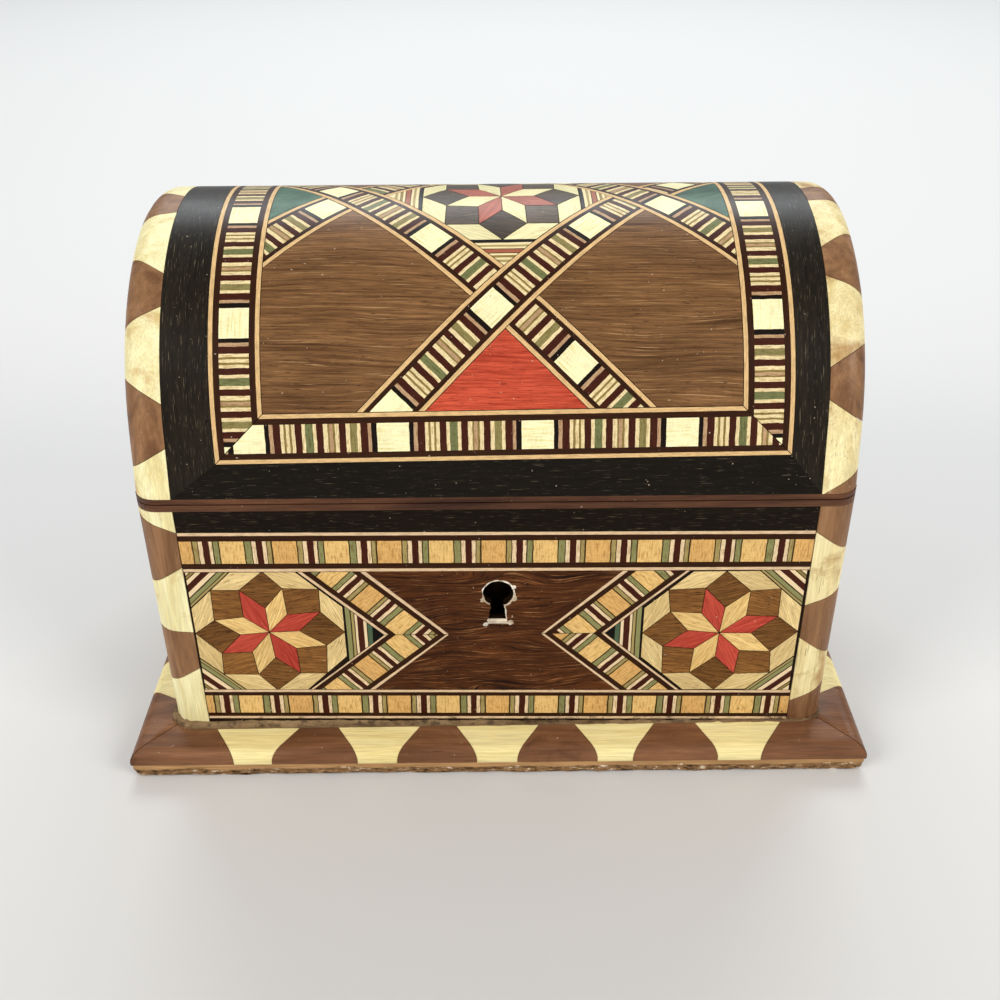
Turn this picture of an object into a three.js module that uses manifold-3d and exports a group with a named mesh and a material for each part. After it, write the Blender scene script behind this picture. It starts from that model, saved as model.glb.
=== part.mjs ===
// A domed jewellery box on a plinth. Carcass boards carry veneer sheets and inlaid edge strips, the
// arched lid turns on two butt hinges, and a small box lock in the front wall takes the lid's catch.
// Millimetres, +Z up. The front looks along -Y. The origin is on the table, under the middle of the base.
import * as THREE from 'three';
import { mergeVertices } from 'three/addons/utils/BufferGeometryUtils.js';
import Module from 'manifold-3d';

const wasm = await Module();
wasm.setup();

// Body
const BODY_WIDTH = 142.6;
const BODY_DEPTH = 89;
const BODY_TOP = 64.7; // the rim's height above the table
const WALL_THICKNESS = 6.2;
const VENEER_THICKNESS = 1.2;
const GLUE_GAP = 0.1;

// Base board and the plinth moulding on it
const BASE_THICKNESS = 3.7;
const BASE_CORNER_RADIUS = 1.5;
const PLINTH_OVERHANG = 8.4;
const PLINTH_HEIGHT = 3.8; // where the moulding meets the body
const PLINTH_FALL = 0.5; // drop across the flat part of the moulding's top
const PLINTH_EDGE_WIDTH = 3;
const PLINTH_EDGE_DROP = 2.6;

// Inlaid strips round the edges of body and lid, an L in section with a rounded outer corner
const STRIP_WIDTH = 7.7;
const STRIP_DEPTH = 3.2;
const STRIP_ROUND = 4.5;

// Lipping on the two rims
const BODY_LIP_THICKNESS = 1.4;
const LID_LIP_THICKNESS = 1;
const SEAM_GAP = 0.3;
const RIM_BEVEL_WIDTH = 1; // the back rims are bevelled back to the hinge line, which stops the open lid

// Lid
const ARCH_SET_IN = 2.1; // how much less the arch's radius is than half the body's depth
const ARCH_CENTRE_RISE = 5; // above the body's rim
const LID_STEP_OUT = 0.6; // how far the arch's inside is set out from the rails' inside
const ARCH_STEPS = 32;

// Felt lining
const FELT_THICKNESS = 0.8;
const LINING_MARGIN = 0.3; // bare wood between the felt's edge and the lipping
const LOCK_CUTOUT_MARGIN = 0.3;

// Keyhole and lock
const KEYHOLE_BELOW_RIM = 22;
const KEYHOLE_HEAD_RADIUS = 3.25;
const KEYHOLE_SLOT_LENGTH = 6.55; // from the middle of the head to the foot of the slot
const KEYHOLE_NECK_WIDTH = 2.5;
const KEYHOLE_FOOT_WIDTH = 3.9;
const LOCK_PLATE_THICKNESS = 0.8;
const LOCK_PLATE_EAR = 3; // the plate's width past each side of the case
const LOCK_PLATE_FOOT = 1.8; // the plate's height below the case
const LOCK_CASE_DEPTH = 4.3;
const LOCK_CASE_SIDE_ROOM = 1; // between the case and the bolt when the bolt is back
const LOCK_CASE_UNDER_KEYHOLE = 0.65;
const LOCK_CASE_SHEET = 0.6;
const LOCK_TOP_OVERHANG = 0.5; // the plate's top flange over the front of the case
const DRILL_PIN_RADIUS = 0.8;
const DRILL_PIN_LENGTH = 2.4;
const BOLT_TRAVEL = 3;
const BOLT_THICKNESS = 1;
const BOLT_NOSE_HEIGHT = 1.6;
const BOLT_NOSE_BELOW_RIM = 5.4;
const BOLT_ARM_WIDTH = 1.5;
const BOLT_BAR_HEIGHT = 2.5;
const BOLT_BAR_BELOW_NOSE = 5; // from the nose's underside to the bar's top
const BOLT_TAIL_ABOVE_KEY = 3.8; // from the middle of the keyhole's head to the tail's foot
const BOLT_TAIL_WIDTH = 8;
const TALON_WIDTH = 2.8;
const TALON_DEPTH = 2.5;
const SPRING_THICKNESS = 0.4;
const SPRING_WIDTH = 4.6;
const SPRING_RISE = 3;
const LOCK_CLEARANCE = 0.3;

// Catch under the lid's front rim: a plate with two pierced lugs, which the bolt's noses pass through
const CATCH_PLATE_LENGTH = 18;
const CATCH_PLATE_DEPTH = 4.4;
const CATCH_PLATE_THICKNESS = 0.7;
const CATCH_LUG_SPACING = 10;
const CATCH_LUG_THICKNESS = 1.2;
const CATCH_LUG_WIDTH = 2.4;
const CATCH_LUG_FOOT = 1; // metal under the lug's hole
const CATCH_HOLE_PLAY = 0.5; // round the bolt's nose, above and below
const CATCH_HOLE_SIDE_PLAY = 0.25;
const CATCH_SLOT_PLAY = 0.4;
const CATCH_SWING_ROOM = 0.6; // the lugs swing forward by this much as the lid starts to rise

// Hinges
const HINGE_FROM_END = 29.3; // from the body's end to the hinge's middle
const HINGE_LENGTH = 18;
const HINGE_LEAF_REACH = 5.5; // from the pin forward
const HINGE_LEAF_THICKNESS = 0.7;
const KNUCKLE_RADIUS = 1.5;
const KNUCKLE_GAP = 0.2;
const KNUCKLE_SIDES = 16;
const KNUCKLE_CLEARANCE = 0.2;
const HINGE_PIN_RADIUS = 0.5;
const HINGE_PIN_CLEARANCE = 0.1;
const HINGE_PIN_OVERHANG = 0.3;
const SCREW_FROM_END = 3.5;
const SCREW_FROM_PIN = 3.5;
const SCREW_HEAD_RADIUS = 1.1;
const SCREW_HEAD_HEIGHT = 0.55;
const SCREW_SHANK_RADIUS = 0.45;
const SCREW_LENGTH = 5;
const SCREW_TIP = 0.6;
const SCREW_HOLE_CLEARANCE = 0.1;
const SCREW_SIDES = 10;

const CORNER_STEPS = 6;
const OVERCUT = 1; // how far a cutting shape runs past the face that it opens

// Places worked out from the sizes above
const HALF_WIDTH = BODY_WIDTH / 2;
const HALF_DEPTH = BODY_DEPTH / 2;
const SKIN = VENEER_THICKNESS + GLUE_GAP;
const CARCASS_HALF_WIDTH = HALF_WIDTH - SKIN;
const CARCASS_HALF_DEPTH = HALF_DEPTH - SKIN;
const INNER_HALF_WIDTH = CARCASS_HALF_WIDTH - WALL_THICKNESS;
const LONG_BOARD_HALF = HALF_WIDTH - STRIP_DEPTH - GLUE_GAP; // the long boards end at the strips' backs
const INNER_HALF_DEPTH = CARCASS_HALF_DEPTH - WALL_THICKNESS;
const WALL_TOP = BODY_TOP - BODY_LIP_THICKNESS;
const LID_BOTTOM = BODY_TOP + SEAM_GAP;
const LID_LIP_TOP = LID_BOTTOM + LID_LIP_THICKNESS;
const ARCH_RADIUS = HALF_DEPTH - ARCH_SET_IN;
const ARCH_CENTRE = BODY_TOP + ARCH_CENTRE_RISE;
const SHELL_RADIUS = ARCH_RADIUS - SKIN;
const SHELL_INNER_RADIUS = INNER_HALF_DEPTH + LID_STEP_OUT;
const HINGE_Y = HALF_DEPTH - RIM_BEVEL_WIDTH;
const HINGE_Z = BODY_TOP + SEAM_GAP / 2;
const HINGE_X = HALF_WIDTH - HINGE_FROM_END;
const KEYHOLE_Z = BODY_TOP - KEYHOLE_BELOW_RIM;
const LOCK_FACE_Y = -INNER_HALF_DEPTH; // the lock plate is flush with the wall's inner face
const LOCK_BACK_Y = LOCK_FACE_Y - LOCK_PLATE_THICKNESS;
const LOCK_FRONT_Y = LOCK_BACK_Y - LOCK_CASE_DEPTH;
const LOCK_CASE_TOP = BODY_TOP - LOCK_PLATE_THICKNESS;
const LUG_TO_BOLT = CATCH_LUG_THICKNESS / 2 + LOCK_CLEARANCE;
const BOLT_REACH = CATCH_LUG_SPACING / 2 + LUG_TO_BOLT + BOLT_TRAVEL + BOLT_ARM_WIDTH;
const LOCK_CASE_HALF_WIDTH = BOLT_REACH + LOCK_CASE_SIDE_ROOM + LOCK_CASE_SHEET;
const LOCK_CASE_BOTTOM = KEYHOLE_Z - KEYHOLE_SLOT_LENGTH - LOCK_CASE_UNDER_KEYHOLE;
const LOCK_PLATE_HALF_WIDTH = LOCK_CASE_HALF_WIDTH + LOCK_PLATE_EAR;
const LOCK_PLATE_BOTTOM = LOCK_CASE_BOTTOM - LOCK_PLATE_FOOT;
const BOLT_Y = (LOCK_BACK_Y + LOCK_FRONT_Y + LOCK_CASE_SHEET) / 2;
const BOLT_NOSE_Z = BODY_TOP - BOLT_NOSE_BELOW_RIM;
const CATCH_Y = BOLT_Y;

// The lid's straight walls lean in and run tangent into the arch at this angle above its centre
const WALL_FOOT = Math.hypot(HALF_DEPTH, ARCH_CENTRE - LID_BOTTOM);
const LEAN_ANGLE = Math.acos(ARCH_RADIUS / WALL_FOOT) - Math.atan2(ARCH_CENTRE - LID_BOTTOM, HALF_DEPTH);

const metal = (color, roughness) => new THREE.MeshStandardMaterial({ color, roughness, metalness: 1 });
const wood = (color, roughness) => new THREE.MeshStandardMaterial({ color, roughness, metalness: 0 });
const CARCASS = wood(0x9c7148, 0.6);
const PLYWOOD = wood(0xc79c66, 0.6);
const MARQUETRY = wood(0x6f4a2c, 0.35);
const EBONY = wood(0x1d1815, 0.35);
const STRIP_INLAY = wood(0xe8dba0, 0.3);
const MAHOGANY = wood(0x6d3a22, 0.35);
const FELT = wood(0x7a1620, 0.95);
const BRASS = metal(0xb08a45, 0.4);
const STEEL = metal(0x8c8a86, 0.45);

const box = new THREE.Group();

function addPart(name, geometry, material) {
  const mesh = new THREE.Mesh(geometry, material);
  mesh.name = name;
  box.add(mesh);
}

// Joining and cutting
function solidOf(geometry) {
  const bare = new THREE.BufferGeometry();
  bare.setAttribute('position', geometry.getAttribute('position'));
  bare.setIndex(geometry.getIndex());
  const merged = mergeVertices(bare, 1e-5);
  return new wasm.Manifold(new wasm.Mesh({
    numProp: 3,
    vertProperties: new Float32Array(merged.getAttribute('position').array),
    triVerts: new Uint32Array(merged.getIndex().array),
  }));
}

function geometryOf(solid) {
  const mesh = solid.getMesh();
  const geometry = new THREE.BufferGeometry();
  geometry.setAttribute('position', new THREE.BufferAttribute(mesh.vertProperties, 3));
  geometry.setIndex(new THREE.BufferAttribute(mesh.triVerts, 1));
  geometry.computeVertexNormals();
  return geometry;
}

function cut(geometry, tools) {
  let solid = solidOf(geometry);
  for (const tool of tools) {
    solid = solid.subtract(solidOf(tool));
  }
  return geometryOf(solid);
}

function join(geometries) {
  let solid = solidOf(geometries[0]);
  for (const geometry of geometries.slice(1)) {
    solid = solid.add(solidOf(geometry));
  }
  return geometryOf(solid);
}

// Plain shapes
function block(xLow, xHigh, yLow, yHigh, zLow, zHigh) {
  const geometry = new THREE.BoxGeometry(xHigh - xLow, yHigh - yLow, zHigh - zLow);
  geometry.translate((xLow + xHigh) / 2, (yLow + yHigh) / 2, (zLow + zHigh) / 2);
  return geometry;
}

function extrude(outline, length) {
  const points = outline.map(([a, b]) => new THREE.Vector2(a, b));
  return new THREE.ExtrudeGeometry(new THREE.Shape(points), { depth: length, bevelEnabled: false });
}

// An outline in plan, (x, y), raised from one height to another
function uprightPrism(outline, zLow, zHigh) {
  return extrude(outline, zHigh - zLow).translate(0, 0, zLow);
}

// A section across the box, (y, z), run along X
function lengthwisePrism(section, xLow, xHigh) {
  const turn = new THREE.Matrix4().makeBasis(
    new THREE.Vector3(0, 1, 0),
    new THREE.Vector3(0, 0, 1),
    new THREE.Vector3(1, 0, 0),
  );
  return extrude(section, xHigh - xLow).applyMatrix4(turn).translate(xLow, 0, 0);
}

// An outline seen from the front, (x, z), run through Y
function depthPrism(outline, yLow, yHigh) {
  const turn = new THREE.Matrix4().makeBasis(
    new THREE.Vector3(1, 0, 0),
    new THREE.Vector3(0, 0, 1),
    new THREE.Vector3(0, -1, 0),
  );
  return extrude(outline, yHigh - yLow).applyMatrix4(turn).translate(0, yHigh, 0);
}

function rodAlongX(radius, xLow, xHigh, y, z, sides) {
  const geometry = new THREE.CylinderGeometry(radius, radius, xHigh - xLow, sides);
  return geometry.rotateZ(-Math.PI / 2).translate((xLow + xHigh) / 2, y, z);
}

function arc(centreA, centreB, radius, from, to, steps) {
  const points = [];
  for (let i = 0; i <= steps; i += 1) {
    const angle = from + ((to - from) * i) / steps;
    points.push([centreA + radius * Math.cos(angle), centreB + radius * Math.sin(angle)]);
  }
  return points;
}

function roundedRectangle(halfWidth, halfDepth, radius) {
  const corners = [[1, 1], [-1, 1], [-1, -1], [1, -1]];
  return corners.flatMap(([sideX, sideY], i) => arc(
    sideX * (halfWidth - radius),
    sideY * (halfDepth - radius),
    radius,
    (i * Math.PI) / 2,
    ((i + 1) * Math.PI) / 2,
    CORNER_STEPS,
  ));
}

function mirrorX(points) {
  return points.map(([x, other]) => [-x, other]).reverse();
}

// Edge strips. The section is given as distance along X and depth under the face.
function stripSection() {
  const round = arc(HALF_WIDTH - STRIP_ROUND, STRIP_ROUND, STRIP_ROUND, -Math.PI / 2, 0, CORNER_STEPS);
  return [
    [HALF_WIDTH - STRIP_WIDTH, 0],
    ...round,
    [HALF_WIDTH, STRIP_WIDTH],
    [HALF_WIDTH - STRIP_DEPTH, STRIP_WIDTH],
    [HALF_WIDTH - STRIP_DEPTH, STRIP_DEPTH],
    [HALF_WIDTH - STRIP_WIDTH, STRIP_DEPTH],
  ];
}

// The rebate that a strip lies in, open to the outside
function rebateSection() {
  return [
    [HALF_WIDTH - STRIP_WIDTH - GLUE_GAP, -OVERCUT],
    [HALF_WIDTH + OVERCUT, -OVERCUT],
    [HALF_WIDTH + OVERCUT, STRIP_WIDTH + GLUE_GAP],
    [HALF_WIDTH - STRIP_DEPTH - GLUE_GAP, STRIP_WIDTH + GLUE_GAP],
    [HALF_WIDTH - STRIP_DEPTH - GLUE_GAP, STRIP_DEPTH + GLUE_GAP],
    [HALF_WIDTH - STRIP_WIDTH - GLUE_GAP, STRIP_DEPTH + GLUE_GAP],
  ];
}

function standAtCorner(section, sideX, sideY, zLow, zHigh) {
  const outline = section.map(([x, depth]) => [sideX * x, sideY * (HALF_DEPTH - depth)]);
  return uprightPrism(outline, zLow, zHigh);
}

function cornerRebates() {
  const section = rebateSection();
  const corners = [[-1, -1], [1, -1], [-1, 1], [1, 1]];
  return corners.map(([sideX, sideY]) => standAtCorner(section, sideX, sideY, 0, BODY_TOP));
}

// Base and plinth
function baseBoard() {
  const outline = roundedRectangle(
    HALF_WIDTH + PLINTH_OVERHANG,
    HALF_DEPTH + PLINTH_OVERHANG,
    BASE_CORNER_RADIUS,
  );
  return uprightPrism(outline, 0, BASE_THICKNESS);
}

// The moulding's section: distance out from the body's face, and height
function plinthSection() {
  const top = BASE_THICKNESS + PLINTH_HEIGHT;
  const edgeStart = PLINTH_OVERHANG - PLINTH_EDGE_WIDTH;
  const edge = arc(0, 0, 1, 0, Math.PI / 2, CORNER_STEPS).map(([across, up]) => [
    edgeStart + across * PLINTH_EDGE_WIDTH,
    top - PLINTH_FALL + (up - 1) * PLINTH_EDGE_DROP,
  ]);
  return [
    [-STRIP_ROUND, BASE_THICKNESS],
    [PLINTH_OVERHANG, BASE_THICKNESS],
    ...edge,
    [0, top],
    [-STRIP_ROUND, top],
  ];
}

// A moulding along one side, mitred at both ends. Place is 'x' for the front and back.
function plinthMoulding(axis, side) {
  const section = plinthSection();
  const count = section.length;
  const [along, across] = axis === 'x' ? [HALF_WIDTH, HALF_DEPTH] : [HALF_DEPTH, HALF_WIDTH];
  const positions = [];
  for (const end of [-1, 1]) {
    for (const [out, z] of section) {
      const run = end * (along + out);
      const reach = side * (across + out);
      positions.push(...(axis === 'x' ? [run, reach, z] : [reach, run, z]));
    }
  }
  const faces = THREE.ShapeUtils.triangulateShape(section.map(([a, b]) => new THREE.Vector2(a, b)), []);
  const index = [];
  for (const [a, b, c] of faces) {
    index.push(a, b, c, count + a, count + c, count + b);
  }
  for (let i = 0; i < count; i += 1) {
    const next = (i + 1) % count;
    index.push(i, count + i, count + next, i, count + next, next);
  }
  const geometry = new THREE.BufferGeometry();
  geometry.setAttribute('position', new THREE.Float32BufferAttribute(positions, 3));
  geometry.setIndex(side === (axis === 'x' ? -1 : 1) ? index : index.reverse());
  const seat = roundedRectangle(HALF_WIDTH + GLUE_GAP, HALF_DEPTH + GLUE_GAP, STRIP_ROUND + GLUE_GAP);
  return cut(geometry, [uprightPrism(seat, 0, BODY_TOP)]);
}

// Keyhole, seen from the front
function keyhole(yLow, yHigh) {
  const footZ = KEYHOLE_Z - KEYHOLE_SLOT_LENGTH;
  const neckAngle = Math.asin(KEYHOLE_NECK_WIDTH / 2 / KEYHOLE_HEAD_RADIUS);
  const head = arc(
    0,
    KEYHOLE_Z,
    KEYHOLE_HEAD_RADIUS,
    -Math.PI / 2 + neckAngle,
    (3 * Math.PI) / 2 - neckAngle,
    4 * CORNER_STEPS,
  );
  const outline = [...head, [-KEYHOLE_FOOT_WIDTH / 2, footZ], [KEYHOLE_FOOT_WIDTH / 2, footZ]];
  return depthPrism(outline, yLow, yHigh);
}

// Recesses for the lock
function lockMortise() {
  const half = LOCK_CASE_HALF_WIDTH + GLUE_GAP;
  const yLow = LOCK_FRONT_Y - GLUE_GAP;
  const zLow = LOCK_CASE_BOTTOM - GLUE_GAP;
  return block(-half, half, yLow, LOCK_FACE_Y + OVERCUT, zLow, BODY_TOP + OVERCUT);
}

function lockPlateRecess() {
  const half = LOCK_PLATE_HALF_WIDTH + GLUE_GAP;
  const yLow = LOCK_BACK_Y - GLUE_GAP;
  const zLow = LOCK_PLATE_BOTTOM - GLUE_GAP;
  return block(-half, half, yLow, LOCK_FACE_Y + OVERCUT, zLow, BODY_TOP + OVERCUT);
}

function lockFlangeRecess() {
  const half = LOCK_PLATE_HALF_WIDTH + GLUE_GAP;
  const yLow = LOCK_FRONT_Y - LOCK_TOP_OVERHANG - GLUE_GAP;
  const zLow = LOCK_CASE_TOP - GLUE_GAP;
  return block(-half, half, yLow, LOCK_FACE_Y + OVERCUT, zLow, BODY_TOP + OVERCUT);
}

// Screws are made head up at the origin, and cut their own holes when grown by a clearance
function screw(grow) {
  const profile = [
    [0, -SCREW_LENGTH - grow],
    [SCREW_SHANK_RADIUS + grow, -SCREW_LENGTH + SCREW_TIP],
    [SCREW_SHANK_RADIUS + grow, -SCREW_HEAD_HEIGHT],
    [SCREW_HEAD_RADIUS + grow, 0],
    [SCREW_HEAD_RADIUS + grow, grow],
    [0, grow],
  ];
  const outline = grow > 0 ? profile : profile.filter((point, i) => i !== 4);
  const points = outline.map(([r, z]) => new THREE.Vector2(r, z));
  return new THREE.LatheGeometry(points, SCREW_SIDES).rotateX(Math.PI / 2);
}

// The screws of one hinge leaf: facing +1 for the body's, which point down, and -1 for the lid's
function hingeScrews(sideX, facing, grow) {
  const y = HINGE_Y - SCREW_FROM_PIN;
  const z = facing > 0 ? BODY_TOP : LID_BOTTOM;
  return [-1, 1].map((end) => {
    const one = screw(grow);
    if (facing < 0) {
      one.rotateX(Math.PI);
    }
    return one.translate(sideX * HINGE_X + end * (HINGE_LENGTH / 2 - SCREW_FROM_END), y, z);
  });
}

// Room for a hinge in the rims: round the knuckle, and under a leaf
function knuckleRecess(sideX) {
  const middle = sideX * HINGE_X;
  const half = HINGE_LENGTH / 2 + HINGE_PIN_OVERHANG + KNUCKLE_CLEARANCE;
  return rodAlongX(
    KNUCKLE_RADIUS + KNUCKLE_CLEARANCE,
    middle - half,
    middle + half,
    HINGE_Y,
    HINGE_Z,
    KNUCKLE_SIDES,
  );
}

function leafRecess(sideX, facing) {
  const middle = sideX * HINGE_X;
  const half = HINGE_LENGTH / 2 + GLUE_GAP;
  const depth = HINGE_LEAF_THICKNESS + GLUE_GAP;
  const [zLow, zHigh] = facing > 0
    ? [BODY_TOP - depth, BODY_TOP + OVERCUT]
    : [LID_BOTTOM - OVERCUT, LID_BOTTOM + depth];
  return block(middle - half, middle + half, HINGE_Y - HINGE_LEAF_REACH - GLUE_GAP, HINGE_Y, zLow, zHigh);
}

function hingeRoom(facing) {
  return [-1, 1].flatMap((sideX) => [
    knuckleRecess(sideX),
    leafRecess(sideX, facing),
    ...hingeScrews(sideX, facing, SCREW_HOLE_CLEARANCE),
  ]);
}

// Body walls. The front and back run to the backs of the corner strips, and the ends stand between them.
function frontWall() {
  const board = block(
    -LONG_BOARD_HALF,
    LONG_BOARD_HALF,
    -CARCASS_HALF_DEPTH,
    -INNER_HALF_DEPTH,
    BASE_THICKNESS,
    WALL_TOP,
  );
  const opening = keyhole(-HALF_DEPTH, LOCK_FRONT_Y);
  return cut(board, [...cornerRebates(), lockMortise(), lockPlateRecess(), lockFlangeRecess(), opening]);
}

function backWall() {
  const board = block(
    -LONG_BOARD_HALF,
    LONG_BOARD_HALF,
    INNER_HALF_DEPTH,
    CARCASS_HALF_DEPTH,
    BASE_THICKNESS,
    WALL_TOP,
  );
  return cut(board, [...cornerRebates(), ...hingeRoom(1)]);
}

function endBoardSpan(sideX) {
  return sideX < 0 ? [-CARCASS_HALF_WIDTH, -INNER_HALF_WIDTH] : [INNER_HALF_WIDTH, CARCASS_HALF_WIDTH];
}

function sideWall(sideX) {
  const [xLow, xHigh] = endBoardSpan(sideX);
  const board = block(xLow, xHigh, -INNER_HALF_DEPTH, INNER_HALF_DEPTH, BASE_THICKNESS, WALL_TOP);
  return cut(board, cornerRebates());
}

// Veneer sheets between the corner strips
function facePanel(sideY) {
  const half = HALF_WIDTH - STRIP_WIDTH - GLUE_GAP;
  const [yLow, yHigh] = sideY < 0
    ? [-HALF_DEPTH, -HALF_DEPTH + VENEER_THICKNESS]
    : [HALF_DEPTH - VENEER_THICKNESS, HALF_DEPTH];
  const sheet = block(-half, half, yLow, yHigh, BASE_THICKNESS, WALL_TOP);
  if (sideY < 0) {
    return cut(sheet, [keyhole(yLow - OVERCUT, yHigh + OVERCUT)]);
  }
  return cut(sheet, [knuckleRecess(-1), knuckleRecess(1)]);
}

function endPanel(sideX) {
  const half = HALF_DEPTH - STRIP_WIDTH - GLUE_GAP;
  const [xLow, xHigh] = sideX < 0
    ? [-HALF_WIDTH, -HALF_WIDTH + VENEER_THICKNESS]
    : [HALF_WIDTH - VENEER_THICKNESS, HALF_WIDTH];
  return block(xLow, xHigh, -half, half, BASE_THICKNESS, WALL_TOP);
}

// Lipping: four strips mitred over the rim, made in plan as they lie
function lipOutline(axis, side) {
  const [along, across] = axis === 'x' ? [HALF_WIDTH, HALF_DEPTH] : [HALF_DEPTH, HALF_WIDTH];
  const wallWidth = HALF_WIDTH - INNER_HALF_WIDTH;
  const inner = [[-(along - wallWidth), across - wallWidth], [along - wallWidth, across - wallWidth]];
  const [start, end, steps] = [Math.PI / 4, Math.PI / 2, CORNER_STEPS / 2];
  const near = arc(along - STRIP_ROUND, across - STRIP_ROUND, STRIP_ROUND, start, end, steps);
  const far = near.map(([run, reach]) => [-run, reach]).reverse();
  const outline = [...inner, ...near, ...far];
  return outline.map(([run, reach]) => (axis === 'x' ? [run, side * reach] : [side * reach, run]));
}

// The bevel on the back rims, from the hinge line out to the lipping's far edge
function rimBevel(lipEdge, rim) {
  const beyond = OVERCUT / RIM_BEVEL_WIDTH;
  const section = [
    [HINGE_Y, rim],
    [HALF_DEPTH + OVERCUT, rim + (lipEdge - rim) * (1 + beyond)],
    [HALF_DEPTH + OVERCUT, rim],
  ];
  return lengthwisePrism(section, -HALF_WIDTH - OVERCUT, HALF_WIDTH + OVERCUT);
}

function bodyLip(axis, side) {
  const strip = uprightPrism(lipOutline(axis, side), WALL_TOP, BODY_TOP);
  if (axis === 'x' && side < 0) {
    return cut(strip, [lockMortise(), lockPlateRecess(), lockFlangeRecess()]);
  }
  const tools = [rimBevel(WALL_TOP, BODY_TOP)];
  if (axis === 'x') {
    tools.push(...hingeRoom(1));
  }
  return cut(strip, tools);
}

// The lid's leaning wall: how far out its face is at a height, at a depth under it
function leanOut(z, depth) {
  const tangentY = ARCH_RADIUS * Math.cos(LEAN_ANGLE);
  const tangentZ = ARCH_CENTRE + ARCH_RADIUS * Math.sin(LEAN_ANGLE);
  const down = (tangentZ - depth * Math.sin(LEAN_ANGLE) - z) / Math.cos(LEAN_ANGLE);
  return tangentY - depth * Math.cos(LEAN_ANGLE) + down * Math.sin(LEAN_ANGLE);
}

// The lid's outline at a depth under its face, front to back over the top, with its feet at one height
function lidOutline(depth, zFoot) {
  const arch = arc(0, ARCH_CENTRE, ARCH_RADIUS - depth, Math.PI - LEAN_ANGLE, LEAN_ANGLE, ARCH_STEPS);
  const foot = leanOut(zFoot, depth);
  return [[-foot, zFoot], ...arch, [foot, zFoot]];
}

// Follows the lid's face with a section of (x, depth), from below the front rim to below the back rim
function followLid(section) {
  const start = LID_BOTTOM - 2 * OVERCUT;
  const walls = { y: leanOut(start, 0), z: start };
  const frames = [{ y: -walls.y, z: walls.z, angle: Math.PI - LEAN_ANGLE }];
  for (let i = 0; i <= ARCH_STEPS; i += 1) {
    const angle = Math.PI - LEAN_ANGLE + ((2 * LEAN_ANGLE - Math.PI) * i) / ARCH_STEPS;
    frames.push({ y: ARCH_RADIUS * Math.cos(angle), z: ARCH_CENTRE + ARCH_RADIUS * Math.sin(angle), angle });
  }
  frames.push({ y: walls.y, z: walls.z, angle: LEAN_ANGLE });
  const positions = frames.flatMap(({ y, z, angle }) => section.flatMap(([x, depth]) => [
    x,
    y - depth * Math.cos(angle),
    z - depth * Math.sin(angle),
  ]));
  const count = section.length;
  const last = (frames.length - 1) * count;
  const index = [];
  for (let i = 0; i < frames.length - 1; i += 1) {
    for (let j = 0; j < count; j += 1) {
      const a = i * count + j;
      const b = i * count + ((j + 1) % count);
      index.push(a, b, b + count, a, b + count, a + count);
    }
  }
  const faces = THREE.ShapeUtils.triangulateShape(section.map(([x, d]) => new THREE.Vector2(x, d)), []);
  for (const [a, b, c] of faces) {
    index.push(a, c, b, last + a, last + b, last + c);
  }
  const geometry = new THREE.BufferGeometry();
  geometry.setAttribute('position', new THREE.Float32BufferAttribute(positions, 3));
  geometry.setIndex(index);
  return geometry;
}

function lidRebates() {
  return [followLid(mirrorX(rebateSection())), followLid(rebateSection())];
}

// Lid boards
function lidRail(sideY) {
  const slack = GLUE_GAP;
  const top = ARCH_CENTRE - slack * Math.cos(LEAN_ANGLE);
  const reach = (INNER_HALF_DEPTH - slack * Math.sin(LEAN_ANGLE)) / Math.cos(LEAN_ANGLE);
  const section = [
    [INNER_HALF_DEPTH, LID_LIP_TOP],
    [leanOut(LID_LIP_TOP, SKIN), LID_LIP_TOP],
    [
      SHELL_RADIUS * Math.cos(LEAN_ANGLE) + slack * Math.sin(LEAN_ANGLE),
      top + SHELL_RADIUS * Math.sin(LEAN_ANGLE),
    ],
    [INNER_HALF_DEPTH, top + reach * Math.sin(LEAN_ANGLE)],
  ];
  const placed = section.map(([y, z]) => [sideY * y, z]);
  const rail = lengthwisePrism(placed, -LONG_BOARD_HALF, LONG_BOARD_HALF);
  const tools = lidRebates();
  if (sideY > 0) {
    tools.push(...hingeRoom(-1));
  }
  return cut(rail, tools);
}

function lidEnd(sideX) {
  const radius = SHELL_INNER_RADIUS - GLUE_GAP;
  const start = Math.acos(INNER_HALF_DEPTH / radius);
  const outline = [
    [-INNER_HALF_DEPTH, LID_LIP_TOP],
    [INNER_HALF_DEPTH, LID_LIP_TOP],
    ...arc(0, ARCH_CENTRE, radius, start, Math.PI - start, ARCH_STEPS),
  ];
  const [xLow, xHigh] = endBoardSpan(sideX);
  return cut(lengthwisePrism(outline, xLow, xHigh), lidRebates());
}

function lidShell() {
  const section = [
    ...arc(0, ARCH_CENTRE, SHELL_RADIUS, Math.PI - LEAN_ANGLE, LEAN_ANGLE, ARCH_STEPS),
    ...arc(0, ARCH_CENTRE, SHELL_INNER_RADIUS, LEAN_ANGLE, Math.PI - LEAN_ANGLE, ARCH_STEPS),
  ];
  return cut(lengthwisePrism(section, -LONG_BOARD_HALF, LONG_BOARD_HALF), lidRebates());
}

// Lid veneers, edge strips and lipping
function lidTopPanel() {
  const half = HALF_WIDTH - STRIP_WIDTH - GLUE_GAP;
  const section = [...lidOutline(0, LID_LIP_TOP), ...lidOutline(VENEER_THICKNESS, LID_LIP_TOP).reverse()];
  return cut(lengthwisePrism(section, -half, half), [knuckleRecess(-1), knuckleRecess(1)]);
}

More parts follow.
